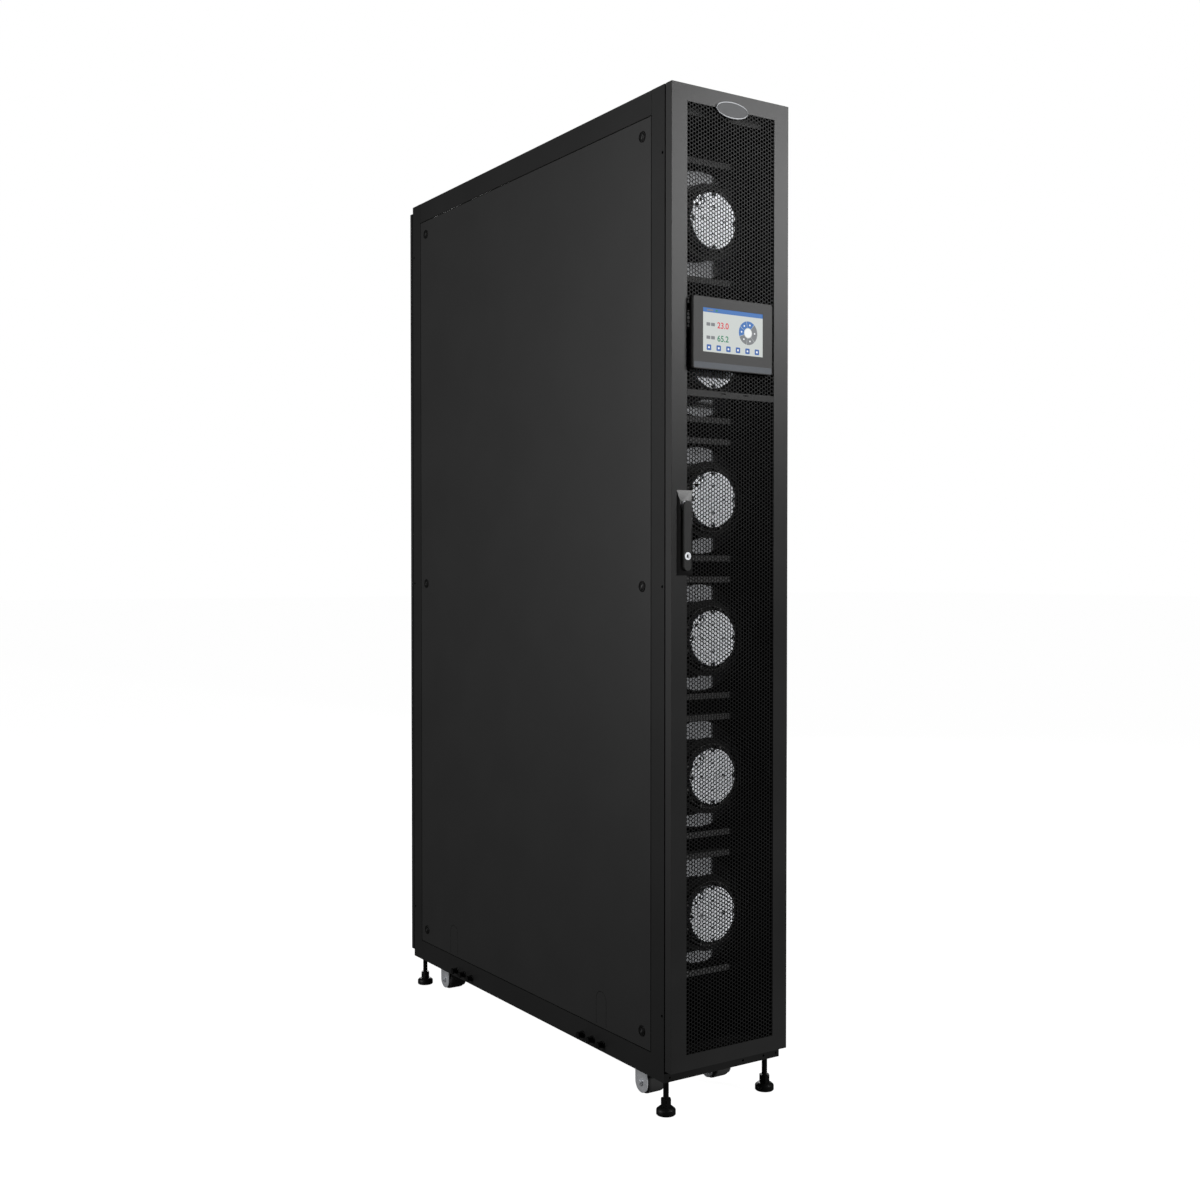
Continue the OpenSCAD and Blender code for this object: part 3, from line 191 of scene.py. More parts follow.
# CAD pieces that aren't replaced take the finish of their slot; the display's slot has none of its own name
for sub in frame["record"]["subparts"]:
    node = frame["nodes"][sub["node"]]
    mat = MATERIALS.get(sub["material_slot"], MATERIALS["screen_field"])
    for material_slot in node.material_slots:
        material_slot.material = mat


# ---------- pieces ----------

ONE_PLANE = 0.3            # degrees between faces, below which they lie in one plane
SMOOTH_BELOW = 35          # degrees between faces, above which the edge stays sharp
BEVEL_ABOVE = 30           # degrees between faces, above which a bevel softens the edge


def piece(name, bm, material, body, replaces=(), smooth=SMOOTH_BELOW, bevel=0.0):
    """A new object from a bmesh, riding on a body, with soft edges where bevel is set."""
    bmesh.ops.recalc_face_normals(bm, faces=bm.faces)
    least, most = math.radians(ONE_PLANE), math.radians(smooth)
    for face in bm.faces:
        face.smooth = any(len(e.link_faces) == 2 and least < e.calc_face_angle(0) < most for e in face.edges)
    if bevel:
        sharp = math.radians(BEVEL_ABOVE)
        edges = [e for e in bm.edges if len(e.link_faces) == 2 and e.calc_face_angle(0) > sharp]
        made = bmesh.ops.bevel(bm, geom=edges, offset=bevel, segments=2, affect="EDGES",
                               clamp_overlap=True)
        for face in made["faces"]:
            face.smooth = True
    mesh = bpy.data.meshes.new(name)
    bm.to_mesh(mesh)
    bm.free()
    if "custom_normal" in mesh.attributes:
        mesh.attributes.remove(mesh.attributes["custom_normal"])
    return finish_piece(name, mesh, material, body, replaces, smooth)


def finish_piece(name, mesh, material, body, replaces=(), smooth=SMOOTH_BELOW):
    """An object from a mesh, with its material, its body and the CAD nodes it stands for."""
    obj = bpy.data.objects.new(name, mesh)
    bpy.context.scene.collection.objects.link(obj)
    mesh.materials.append(MATERIALS[material])
    mesh.set_sharp_from_angle(angle=math.radians(smooth))
    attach(obj, body)
    if replaces:
        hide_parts(*replaces)
    return obj


def shape_of(node):
    """The CAD node's own shape as a bmesh of whole flat faces."""
    bm = bmesh.new()
    bm.from_mesh(frame["nodes"][node].data)
    bmesh.ops.remove_doubles(bm, verts=bm.verts, dist=WELD)
    bmesh.ops.dissolve_limit(bm, angle_limit=math.radians(0.5), verts=bm.verts, edges=bm.edges)
    return bm


def softened(node, width, material=None):
    """The CAD node's own shape with its sharp edges rounded by width."""
    slot = next(s["material_slot"] for s in frame["record"]["subparts"] if s["node"] == node)
    body = frame["nodes"][node]["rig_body"]
    return piece(node + "_soft", shape_of(node), material or slot, body, [node], bevel=width)


def box_into(bm, low, high):
    """Adds a box to a bmesh."""
    corners = [bm.verts.new((x, y, z)) for x in (low[0], high[0]) for y in (low[1], high[1])
               for z in (low[2], high[2])]
    for ring in ((0, 1, 3, 2), (4, 6, 7, 5), (0, 4, 5, 1), (2, 3, 7, 6), (0, 2, 6, 4), (1, 5, 7, 3)):
        bm.faces.new([corners[i] for i in ring])


def turned_into(bm, profile, matrix, segments=64):
    """Adds a body of revolution to a bmesh: profile is (radius, height) points, turned about local Z."""
    rings = []
    for radius, height in profile:
        if radius == 0:
            rings.append([bm.verts.new(matrix @ Vector((0, 0, height)))])
        else:
            angles = (2 * math.pi * i / segments for i in range(segments))
            rings.append([bm.verts.new(matrix @ Vector((radius * math.cos(a), radius * math.sin(a), height)))
                          for a in angles])
    for one, two in zip(rings, rings[1:]):
        for i in range(segments):
            j = (i + 1) % segments
            corners = [one[i % len(one)], one[j % len(one)], two[j % len(two)], two[i % len(two)]]
            unique = list(dict.fromkeys(corners))
            if len(unique) > 2:
                bm.faces.new(unique)
    return rings


def outline_into(bm, points, depth, matrix):
    """Adds a flat outline in local XY, given depth along local Z, to a bmesh."""
    bottom = [bm.verts.new(matrix @ Vector((x, y, 0))) for x, y in points]
    top = [bm.verts.new(matrix @ Vector((x, y, depth))) for x, y in points]
    bm.faces.new(bottom[::-1])
    bm.faces.new(top)
    count = len(points)
    for i in range(count):
        j = (i + 1) % count
        bm.faces.new((bottom[i], bottom[j], top[j], top[i]))


def rounded(w, h, r, steps=6):
    """The outline of a rectangle with round corners, centred on the origin."""
    points = []
    for cx, cy, start in ((w / 2 - r, h / 2 - r, 0), (r - w / 2, h / 2 - r, 90),
                          (r - w / 2, r - h / 2, 180), (w / 2 - r, r - h / 2, 270)):
        for k in range(steps + 1):
            a = math.radians(start + 90 * k / steps)
            points.append((cx + r * math.cos(a), cy + r * math.sin(a)))
    return points


def facing_front(x, y, z):
    """Local X to the right, local Y up and local Z out of the front, towards -Y."""
    return Matrix(((1, 0, 0, x), (0, 0, -1, y), (0, 1, 0, z), (0, 0, 0, 1)))


def facing_rear(x, y, z):
    """The same, out of the rear."""
    return Matrix(((-1, 0, 0, x), (0, 0, 1, y), (0, 1, 0, z), (0, 0, 0, 1)))


def around(place, degrees, out, up=0.0):
    """A place turned about its own Z, then moved out along its turned X and up along Z."""
    return place @ Matrix.Rotation(math.radians(degrees), 4, "Z") @ Matrix.Translation((out, 0, up))


def centre(node):
    """The middle of a CAD node's box."""
    low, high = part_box(node)
    return (low + high) / 2


# ---------- camera, floor and light ----------

CAMERA_PLACE = (-1.8133, -2.8969, 1.0999)
CAMERA_DIP = 1.063         # degrees below level
CAMERA_TURN = 32.995       # degrees from +Y towards +X
SENSOR = 36                # millimetres, as is the lens
LENS = 42.845
FLOOR_REACH = 60
FLOOR_GLOW = 0.985
WORLD_LIGHT = 0.05         # how bright the surroundings are to all but the camera
SOFT_SIZE = 2.6            # width of the soft fills


def build_camera():
    """The camera in the place that the photograph was taken from."""
    camera = bpy.data.objects.new("camera", bpy.data.cameras.new("camera"))
    bpy.context.scene.collection.objects.link(camera)
    bpy.context.scene.camera = camera
    camera.location = CAMERA_PLACE
    camera.rotation_euler = (math.radians(90 - CAMERA_DIP), 0, math.radians(-CAMERA_TURN))
    camera.data.sensor_width = SENSOR
    camera.data.lens = LENS
    camera.data.clip_end = 200


def build_floor():
    """A floor as white as the background, which lights nothing and shows in no reflection."""
    bm = bmesh.new()
    bmesh.ops.create_grid(bm, x_segments=1, y_segments=1, size=FLOOR_REACH)
    mesh = bpy.data.meshes.new("floor")
    bm.to_mesh(mesh)
    bm.free()
    floor = bpy.data.objects.new("floor", mesh)
    bpy.context.scene.collection.objects.link(floor)
    pale = surface("floor_pale", grey(0.10), grey(0.11), (0.8, 0.9), 40, 0.02, specular=0.0)
    shader = pale.node_tree.nodes["Principled BSDF"]
    shader.inputs["Emission Color"].default_value = (1, 1, 1, 1)
    shader.inputs["Emission Strength"].default_value = FLOOR_GLOW
    mesh.materials.append(pale)
    floor.visible_diffuse = False
    floor.visible_glossy = False


def build_world():
    """Surroundings that are white to the camera and dim to everything else."""
    world = bpy.data.worlds.new("studio")
    bpy.context.scene.world = world
    world.use_nodes = True
    nodes, links = world.node_tree.nodes, world.node_tree.links
    rays = nodes.new("ShaderNodeLightPath")
    brightness = nodes.new("ShaderNodeMapRange")
    brightness.inputs["To Min"].default_value = WORLD_LIGHT
    brightness.inputs["To Max"].default_value = 1.0
    nodes["Background"].inputs["Color"].default_value = (1, 1, 1, 1)
    links.new(rays.outputs["Is Camera Ray"], brightness.inputs["Value"])
    links.new(brightness.outputs["Result"], nodes["Background"].inputs["Strength"])
    bpy.context.scene.view_settings.view_transform = "Standard"


def build_lights():
    """A far key from the front right, a light for the upper front's gloss, and fills for two more sides."""
    key = light_from((4.8, -7.1, 1.95), (0, -0.6, 1.1), "SPOT", 6200, "key")
    key.data.shadow_soft_size = 0.2
    key.data.spot_size = math.radians(60)
    key.visible_glossy = False
    upper = light_from((2.0, -2.9, 2.7), (0, -0.6, 1.88), "AREA", 41, "upper_soft")
    upper.data.size = 1.2
    upper.visible_diffuse = False
    side = light_from((-4.0, 0.6, 1.9), (0, 0, 1.3), "AREA", 170, "side_soft")
    side.data.size = SOFT_SIZE
    # the rear, which the camera doesn't see
    rear = light_from((2.4, 4.8, 2.6), (0, 0.6, 1.1), "AREA", 220, "rear_soft")
    rear.data.size = SOFT_SIZE


def light_from(place, target, kind, power, name):
    """A light of so many watts at a place, turned towards a target."""
    obj = bpy.data.objects.new(name, bpy.data.lights.new(name, kind))
    obj.data.energy = power
    bpy.context.scene.collection.objects.link(obj)
    obj.location = place
    obj.rotation_euler = (Vector(target) - Vector(place)).to_track_quat("-Z", "Y").to_euler()
    return obj


# ---------- perforated sheets ----------

PITCH = 8.0 * MM
HOLE = 6.3 * MM            # across the flats
MESH_PARTS = 3             # a door's sheet is made in three pieces, one above the other


def perforated(name, low, high, front, thickness, keep, body, replaces=()):
    """A sheet of close-packed hexagonal holes between two corners (x, z), from y = front towards +Y.

    It has one hexagonal cell per hole, and keep(x, z) says which cells are there.
    """
    step = PITCH * math.sqrt(3) / 2
    outer = PITCH / math.sqrt(3)
    inner = HOLE / math.sqrt(3)
    columns = int((high[0] - low[0]) / step)
    rows = int((high[1] - low[1]) / PITCH)
    start = (low[0] + high[0]) / 2 - (columns - 1) * step / 2
    verts, faces, shared = [], [], {}

    def vertex(x, z, y, key=None):
        """The number of a new vertex, or of the one that a neighbour has made under the same key."""
        if key is not None and key in shared:
            return shared[key]
        verts.append((x, y, z))
        if key is not None:
            shared[key] = len(verts) - 1
        return len(verts) - 1

    for c in range(columns):
        for r in range(rows):
            x = start + c * step
            z = low[1] + (r + 0.5 + 0.5 * (c % 2)) * PITCH
            if not keep(x, z):
                continue
            rim = {}
            for side, y in enumerate((front, front + thickness)):
                for k in range(6):
                    a = math.radians(60 * k)
                    ox, oz = x + outer * math.cos(a), z + outer * math.sin(a)
                    rim[side, k] = vertex(ox, oz, y, (round(ox * 1e5), round(oz * 1e5), side))
                    rim[side + 2, k] = vertex(x + inner * math.cos(a), z + inner * math.sin(a), y)
            for k in range(6):
                j = (k + 1) % 6
                faces.append((rim[0, k], rim[0, j], rim[2, j], rim[2, k]))
                faces.append((rim[1, j], rim[1, k], rim[3, k], rim[3, j]))
                faces.append((rim[2, k], rim[2, j], rim[3, j], rim[3, k]))
    mesh = bpy.data.meshes.new(name)
    mesh.from_pydata(verts, [], faces)
    return finish_piece(name, mesh, "mesh_paint", body, replaces, smooth=20)


def build_door_meshes():
    """Both doors' sheets, left open behind the handles and the display."""
    tub_low, tub_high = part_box("front_handle_housing")
    panel_low, panel_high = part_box("display_housing")

    def clear_of_handle(x, z):
        """Both handles have the same x and z."""
        return not (x < tub_high.x - 4 * MM and tub_low.z + 6 * MM < z < tub_high.z - 6 * MM)

    def front_keep(x, z):
        """The front's sheet is also open behind the display."""
        behind = panel_low.x + 12 * MM < x < panel_high.x - 12 * MM
        level = panel_low.z + 10 * MM < z < panel_high.z - 10 * MM
        return clear_of_handle(x, z) and not (behind and level)

    for door, keep in (("front", front_keep), ("rear", clear_of_handle)):
        low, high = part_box(door + "_door_mesh")
        part_h = int((high.z - low.z) / PITCH / MESH_PARTS) * PITCH
        for k in range(MESH_PARTS):
            bottom = low.z + k * part_h
            perforated("%s_perforated_%d" % (door, k + 1), (low.x, bottom),
                       (high.x, bottom + part_h + 0.1 * MM), low.y, high.y - low.y, keep,
                       door + "_door", [door + "_door_mesh"])


# ---------- display ----------

LAYER = 0.05 * MM          # depth of each layer of the picture on the screen
CAP_SHARE = 0.72           # a digit's height as a share of the font's size


def flat_piece(name, points, depth, x, y, z, material, replaces=()):
    """A flat piece on the front door: an outline round x and z, from y towards the front."""
    bm = bmesh.new()
    outline_into(bm, points, depth, facing_front(x, y, z))
    return piece(name, bm, material, "front_door", replaces)


def digits(name, words, height, x, y, z, material):
    """Plain numbers as thin flat pieces; x and z are the lower left corner."""
    curve = bpy.data.curves.new(name, "FONT")
    curve.body = words
    curve.size = height / CAP_SHARE
    curve.extrude = LAYER
    curve.offset = 0.3 * MM
    helper = bpy.data.objects.new(name + "_text", curve)
    bpy.context.scene.collection.objects.link(helper)
    shaped = helper.evaluated_get(bpy.context.evaluated_depsgraph_get())
    mesh = bpy.data.meshes.new_from_object(shaped)
    bpy.data.objects.remove(helper)
    mesh.name = name
    mesh.transform(facing_front(x, y, z))
    return finish_piece(name, mesh, material, "front_door")


def ring_points(inner, outer, start, end, steps=24):
    """The outline of a flat ring's stretch between two angles in degrees."""
    angles = [math.radians(start + (end - start) * k / steps) for k in range(steps + 1)]
    return ([(outer * math.cos(a), outer * math.sin(a)) for a in angles]
            + [(inner * math.cos(a), inner * math.sin(a)) for a in reversed(angles)])


def build_display_frame():
    """The frame round the screen, with a rounded edge, and the lighter strip along its lower edge."""
    low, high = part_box("display_bezel")
    screen_low, screen_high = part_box("display_screen")
    mid = (low + high) / 2
    w, h = high.x - low.x, high.z - low.z
    sw, sh = screen_high.x - screen_low.x, screen_high.z - screen_low.z
    sx, sz = (screen_low.x + screen_high.x) / 2, (screen_low.z + screen_high.z) / 2
    bevel = 0.9 * MM
    chin = 14 * MM

    outer = rounded(w, h, 4 * MM)
    front = [(x * (1 - 2 * bevel / w), z * (1 - 2 * bevel / h)) for x, z in outer]
    window = [(sx - mid.x + x, sz - mid.z + z) for x, z in rounded(sw, sh, 0.6 * MM)]
    bm = bmesh.new()
    rings = [[bm.verts.new((mid.x + x, y, mid.z + z)) for x, z in outline]
             for outline, y in ((outer, high.y), (outer, low.y + bevel), (front, low.y),
                                (window, low.y), (window, screen_low.y + 0.3 * MM))]
    count = len(outer)
    for one, two in zip(rings, rings[1:]):
        for i in range(count):
            j = (i + 1) % count
            bm.faces.new((one[i], one[j], two[j], two[i]))
    piece("display_frame", bm, "bezel_paint", "front_door", ["display_bezel"], smooth=33)

    flat_piece("display_chin", rounded(w - 4 * MM, chin - 2 * MM, 1.5 * MM), 0.1 * MM,
               mid.x, low.y + 0.05 * MM, low.z + chin / 2 + 1 * MM, "chin_paint")


def build_screen():
    """The picture on the screen, each layer a little in front of the last."""
    low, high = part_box("display_screen")
    w, h = high.x - low.x, high.z - low.z
    mid_x, mid_z = (low.x + high.x) / 2, (low.z + high.z) / 2
    left, top = low.x, high.z
    glass = low.y
    near = glass + 0.1 * MM
    nearer = near - LAYER
    flat_piece("screen_field", rounded(w, h, 0.5 * MM), 0.2 * MM, mid_x, glass + 0.3 * MM, mid_z,
               "screen_field", replaces=["display_screen"])

    # header, with a mark and a dot in it
    header_z = top - 0.05 * h
    flat_piece("screen_header", rounded(w, 0.1 * h, 0.2 * MM), LAYER, mid_x, near, header_z, "screen_blue")
    flat_piece("screen_header_mark", rounded(0.1 * w, 0.035 * h, 0.5 * MM), LAYER, left + 0.12 * w,
               nearer, header_z, "screen_grey")
    flat_piece("screen_header_dot", rounded(0.035 * w, 0.04 * h, 0.5 * MM), LAYER, left + 0.225 * w,
               nearer, header_z, "screen_green")

    # two plain numbers, each after a label of two grey bars
    for k, (number, tone) in enumerate((("23.0", "screen_red"), ("65.2", "screen_green"))):
        level = top - (0.37 + 0.30 * k) * h
        for bar in range(2):
            flat_piece("screen_label_%d_%d" % (k + 1, bar + 1), rounded(0.062 * w, 0.075 * h, 0.8 * MM),
                       LAYER, left + (0.09 + 0.075 * bar) * w, near, level, "screen_grey")
        digits("screen_number_%d" % (k + 1), number, 0.14 * h, left + 0.235 * w, near, level - 0.07 * h, tone)

    # gauge: a ring that is blue from the upper right over the top to the left and grey for the rest, with a
    # white mark on each stretch and a white middle; angles run in degrees from the right
    gauge_x, gauge_z = left + 0.75 * w, top - 0.475 * h
    mark_out = 17 * MM
    stretches = ((49, 99, "blue"), (101, 149, "blue"), (151, 199, "blue"), (201, 259, "grey"),
                 (261, 313, "grey"), (315, 407, "grey"))
    for k, (start, end, tone) in enumerate(stretches):
        flat_piece("gauge_%d" % (k + 1), ring_points(10.5 * MM, 24 * MM, start, end), LAYER,
                   gauge_x, near, gauge_z, "screen_" + tone)
        a = math.radians((start + end) / 2)
        flat_piece("gauge_mark_%d" % (k + 1), rounded(3.4 * MM, 3.4 * MM, 1.2 * MM), LAYER,
                   gauge_x + mark_out * math.cos(a), nearer, gauge_z + mark_out * math.sin(a), "screen_white")
    flat_piece("gauge_middle", rounded(18 * MM, 18 * MM, 8.9 * MM, 12), LAYER, gauge_x, near, gauge_z,
               "screen_white")

    # a row of round-cornered icons with plain centres
    for k in range(6):
        x = left + (0.10 + 0.16 * k) * w
        z = top - 0.895 * h
        tile = rounded(11.4 * MM, 11.4 * MM, 2 * MM)
        flat_piece("icon_%d" % (k + 1), tile, LAYER, x, near, z, "screen_icon")
        shape = rounded(4.2 * MM, 4.0 * MM, (1.9, 0.7)[k % 2] * MM)
        flat_piece("icon_mark_%d" % (k + 1), shape, LAYER, x, nearer, z, "screen_white")


# ---------- badge ----------

def build_badge():
    """The oval badge: a raised rim, and the plain field inside it."""
    low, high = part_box("badge_plate")
    mid = (low + high) / 2
    w, h = high.x - low.x, high.z - low.z
    depth = high.y - low.y
    steps = 96
    angles = [2 * math.pi * i / steps for i in range(steps)]

    def oval(scale):
        """The badge's outline, moved in all round by 1 - scale of its height."""
        inset = (1 - scale) * h
        return [((w / 2 - inset) * math.cos(a), (h / 2 - inset) * math.sin(a)) for a in angles]

    # the rim's section: the outline's scale, and how far it stands out as a share of the depth
    profile = ((1.0, 0.0), (1.0, 0.55), (0.985, 0.9), (0.970, 1.0), (0.955, 0.9), (0.945, 0.7))
    bm = bmesh.new()
    rings = [[bm.verts.new((mid.x + x, high.y - out * depth, mid.z + z)) for x, z in oval(scale)]
             for scale, out in profile]
    for one, two in zip(rings, rings[1:]):
        for i in range(steps):
            bm.faces.new((one[i], one[(i + 1) % steps], two[(i + 1) % steps], two[i]))
    bm.faces.new(rings[0][::-1])
    piece("badge_rim", bm, "badge_rim", "front_door", ["badge_plate"], smooth=60)
    field_scale, field_out = profile[-1]
    flat_piece("badge_field", oval(field_scale), field_out * depth, mid.x, high.y, mid.z, "badge_metal")


# ---------- handles ----------

def build_handles():
    """Each door's handle housing and lever, and its lock: a chromed ring round a plug with a slot painted black
    as its shade.
    """
    for door, facing in (("front", facing_front), ("rear", facing_rear)):
        # the housing takes the near-black of painted shade for its recess
        softened(door + "_handle_housing", 0.9 * MM, "handle_recess_shade")
        softened(door + "_handle_lever", 1.1 * MM)
        node = door + "_key_cylinder"
        low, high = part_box(node)
        mid = (low + high) / 2
        radius = (high.x - low.x) / 2
        plug = radius - 2.6 * MM
        back = -5.8 * MM
        sunk = -0.7 * MM
        out = low.y if door == "front" else high.y
        place = facing(mid.x, out, mid.z)
        body = door + "_key"
        bm = bmesh.new()
        turned_into(bm, ((0, back), (radius, back), (radius, -0.5 * MM), (radius - 0.5 * MM, 0),
                         (radius - 2.2 * MM, 0), (radius - 2.5 * MM, -0.5 * MM), (plug, -1.2 * MM)),
                    place, 48)
        piece(door + "_key_ring", bm, "lock_chrome", body, [node])
        bm = bmesh.new()
        turned_into(bm, ((0, back), (plug, back), (plug, -1.0 * MM), (radius - 3.0 * MM, sunk), (0, sunk)),
                    place, 48)
        piece(door + "_key_plug", bm, "lock_chrome", body)
        # the slot is a thin black outline on the plug: painted shade for the keyway's depth
        bm = bmesh.new()
        outline_into(bm, rounded(4.6 * MM, 7.4 * MM, 2.2 * MM), 0.1 * MM,
                     place @ Matrix.Translation((0, 0, sunk)))
        piece(door + "_key_slot_shade", bm, "housing_black", body)


# ---------- fans ----------

FANS = sorted(n for n in frame["nodes"] if n.startswith("fan_rotor_"))
CAP_DEPTH = 17 * MM
PLATE_SET_BACK = 48 * MM   # from the motors' front to the front of the wheels' back plates
BLADES = 7


def cap_outline(radius):
    """A motor cap's outline: a circle with small notches at its lugs and a wide one for the connector."""
    # middle and half width in degrees, and depth in millimetres
    notches = ((90, 5.5, 8), (270, 5.5, 8), (180, 5.5, 8), (0, 5.5, 8), (137, 17, 15))
    points = []
    for k in range(240):
        a = 1.5 * k
        depth = max([d for at, half, d in notches if abs((a - at + 180) % 360 - 180) <= half] or [0])
        r = radius - depth * MM
        points.append((r * math.cos(math.radians(a)), r * math.sin(math.radians(a))))
    return points


def build_motor(index, middle, cap_front, cap_back, radius, core_back):
    """A fan's motor as it shows from the front: the bright cap with its fittings, its rim and its core."""
    place = facing_front(middle.x, cap_back, middle.z)
    tag = "_%d" % index
    deep = cap_back - cap_front
    bm = bmesh.new()
    outline_into(bm, cap_outline(radius), deep, place)
    piece("motor_cap" + tag, bm, "motor_alloy", "cabinet", ["fan_motors"], bevel=0.8 * MM)

    # connector block in the wide notch, with two round sockets as flat black discs: painted shade for their
    # holes
    block_face = deep - 1 * MM
    bm, socket_shade = bmesh.new(), bmesh.new()
    turn = around(place, 138, radius - 6 * MM)
    outline_into(bm, rounded(16 * MM, 26 * MM, 2 * MM, 4), block_face, turn)
    for side in (-1, 1):
        at = turn @ Matrix.Translation((-1 * MM, side * 7.4 * MM, block_face))
        turned_into(socket_shade, ((0, 0.05 * MM), (3.4 * MM, 0.05 * MM), (3.7 * MM, 0)), at, 24)
    piece("motor_connector" + tag, bm, "motor_alloy", "cabinet", bevel=0.5 * MM)
    piece("motor_socket_shade" + tag, socket_shade, "housing_black", "cabinet")

    # lugs in the small notches, each with a dark screw
    lug_face, bolt_face = deep - 4 * MM, deep - 2.4 * MM
    lugs, bolts = bmesh.new(), bmesh.new()
    for k in range(4):
        at = around(place, 90 * k, radius - 3.2 * MM)
        turned_into(lugs, ((4.2 * MM, 0), (4.2 * MM, deep - 4.4 * MM), (3.8 * MM, lug_face), (0, lug_face)),
                    at, 24)
        turned_into(bolts, ((2.6 * MM, lug_face), (2.4 * MM, bolt_face), (0, bolt_face)), at, 20)
    piece("motor_lugs" + tag, lugs, "motor_alloy", "cabinet")
    piece("motor_lug_screws" + tag, bolts, "housing_black", "cabinet")

    # screws in the cap
    bm = bmesh.new()
    for k in range(4):
        at = around(place, 90 * k, 28 * MM, deep)
        turned_into(bm, ((2.6 * MM, -1 * MM), (2.6 * MM, 0.4 * MM), (2.2 * MM, 0.6 * MM),
                         (1.2 * MM, 0.6 * MM), (1.2 * MM, -0.6 * MM), (0, -0.6 * MM)), at, 20)
    piece("motor_screws" + tag, bm, "housing_black", "cabinet")

    # thin rim round the motor, with its clips, and the core behind
    rim_in, rim_out = 66.0 * MM, 67.4 * MM
    bm = bmesh.new()
    turned_into(bm, ((rim_in, 0), (rim_in, 8.5 * MM), (66.6 * MM, 9.0 * MM), (rim_out, 8.5 * MM),
                     (rim_out, 0)), place, 96)
    for a in (22, 67, 113, 158, 202, 247, 293, 338):
        outline_into(bm, rounded(5 * MM, 4.2 * MM, 1 * MM, 3), 10 * MM, around(place, a, 63.6 * MM))
    piece("motor_rim" + tag, bm, "inner_paint", "cabinet")
    bm = bmesh.new()
    core = cap_back - core_back
    turned_into(bm, ((33 * MM, 0), (33 * MM, core), (5.1 * MM, core)), place, 48)
    piece("motor_core" + tag, bm, "screw_steel", "cabinet")


def blade_into(bm, place, start, inner, outer, near, far_inner, far_outer):
    """One backward-curved blade between the back plate and the sloping shroud."""
    steps, half = 12, 0.8 * MM
    sweep = math.radians(46)
    rows = []
    for k in range(steps + 1):
        t = k / steps
        radius = inner + (outer - inner) * t
        angle = start - sweep * t
        far = far_inner + (far_outer - far_inner) * t
        across = half / radius
        rows.append([bm.verts.new(place @ Vector((radius * math.cos(angle + s * across),
                                                  radius * math.sin(angle + s * across), level)))
                     for s, level in ((-1, near), (1, near), (1, far), (-1, far))])
    for one, two in zip(rows, rows[1:]):
        for k in range(4):
            bm.faces.new((one[k], one[(k + 1) % 4], two[(k + 1) % 4], two[k]))
    bm.faces.new(rows[0][::-1])
    bm.faces.new(rows[-1])


def build_rotor(node, index):
    """A fan's wheel: back plate, rolled edge, the cup over the motor's core, and the shroud with its blades."""
    low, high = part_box(node)
    middle = (low + high) / 2
    radius = (high.x - low.x) / 2
    motor_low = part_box("fan_motors")[0]
    back = motor_low.y + PLATE_SET_BACK
    place = facing_rear(middle.x, back, middle.z)
    deep = high.y - back
    body = "fan_%d" % index
    tag = "_%d" % index

    # back plate, domed in the middle, 1.6 mm thick
    flat = radius - 3.5 * MM
    plate_low, plate_high = 0.4 * MM, 2.0 * MM
    bm = bmesh.new()
    turned_into(bm, ((0, 12 * MM), (34 * MM, 12 * MM), (42 * MM, 10.5 * MM), (44 * MM, 7 * MM),
                     (44 * MM, 2 * MM), (46 * MM, plate_low), (flat, plate_low), (flat, plate_high),
                     (48 * MM, plate_high), (46 * MM, 3.6 * MM), (46 * MM, 8 * MM), (43 * MM, 13 * MM),
                     (34 * MM, 14 * MM), (0, 14 * MM)), place, 96)
    piece("wheel_plate" + tag, bm, "fan_metal", body, [node])
    # the rolled edge is in near-black: painted shade for the dark band between the lit back plate and the bars
    bm = bmesh.new()
    rolled = ((flat, plate_low), (radius - 2 * MM, plate_low), (radius - 0.4 * MM, 1.0 * MM),
              (radius, plate_high), (radius - 0.8 * MM, 2.4 * MM), (flat, plate_high))
    turned_into(bm, rolled + rolled[:1], place, 96)
    piece("wheel_edge_shade" + tag, bm, "housing_black", body)
    cup, cup_bore = 44 * MM, 42.6 * MM
    bm = bmesh.new()
    turned_into(bm, ((cup, 2 * MM), (cup, -25 * MM), (cup_bore, -25 * MM), (cup_bore, 2 * MM)), place, 64)
    turned_into(bm, ((0, -20 * MM), (5 * MM, -20 * MM), (5 * MM, 11 * MM), (0, 11 * MM)), place, 24)
    piece("wheel_cup" + tag, bm, "fan_metal", body)

    # shroud: a sloping ring that turns in to the eye
    eye = 75 * MM
    bm = bmesh.new()
    shroud = ((radius, deep - 9 * MM), (radius - 12 * MM, deep - 7.2 * MM),
              (radius - 24 * MM, deep - 4.6 * MM), (eye + 6 * MM, deep - 2.2 * MM),
              (eye + 1.5 * MM, deep - 1.0 * MM), (eye, deep))
    inside = [(r + 0.4 * MM, z - 1.5 * MM) for r, z in reversed(shroud)]
    inside[-1] = (radius, deep - 10.5 * MM)
    turned_into(bm, list(shroud) + inside + [shroud[0]], place, 96)
    for k in range(BLADES):
        blade_into(bm, place, 2 * math.pi * k / BLADES, 66 * MM, radius - 2 * MM, 1.5 * MM,
                   deep - 2.5 * MM, deep - 9.5 * MM)
    bmesh.ops.remove_doubles(bm, verts=bm.verts, dist=WELD)
    piece("wheel_blades" + tag, bm, "fan_metal", body)


def build_fans():
    """The motors and wheels of all the fans, with what holds them."""
    motors_low, motors_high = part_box("fan_motors")
    radius = (motors_high.x - motors_low.x) / 2
    for index, node in enumerate(FANS, 1):
        build_motor(index, centre(node), motors_low.y, motors_low.y + CAP_DEPTH, radius, motors_high.y)
        build_rotor(node, index)
    build_brackets()
    softened("fan_bulkhead", 0.4 * MM, "housing_black")


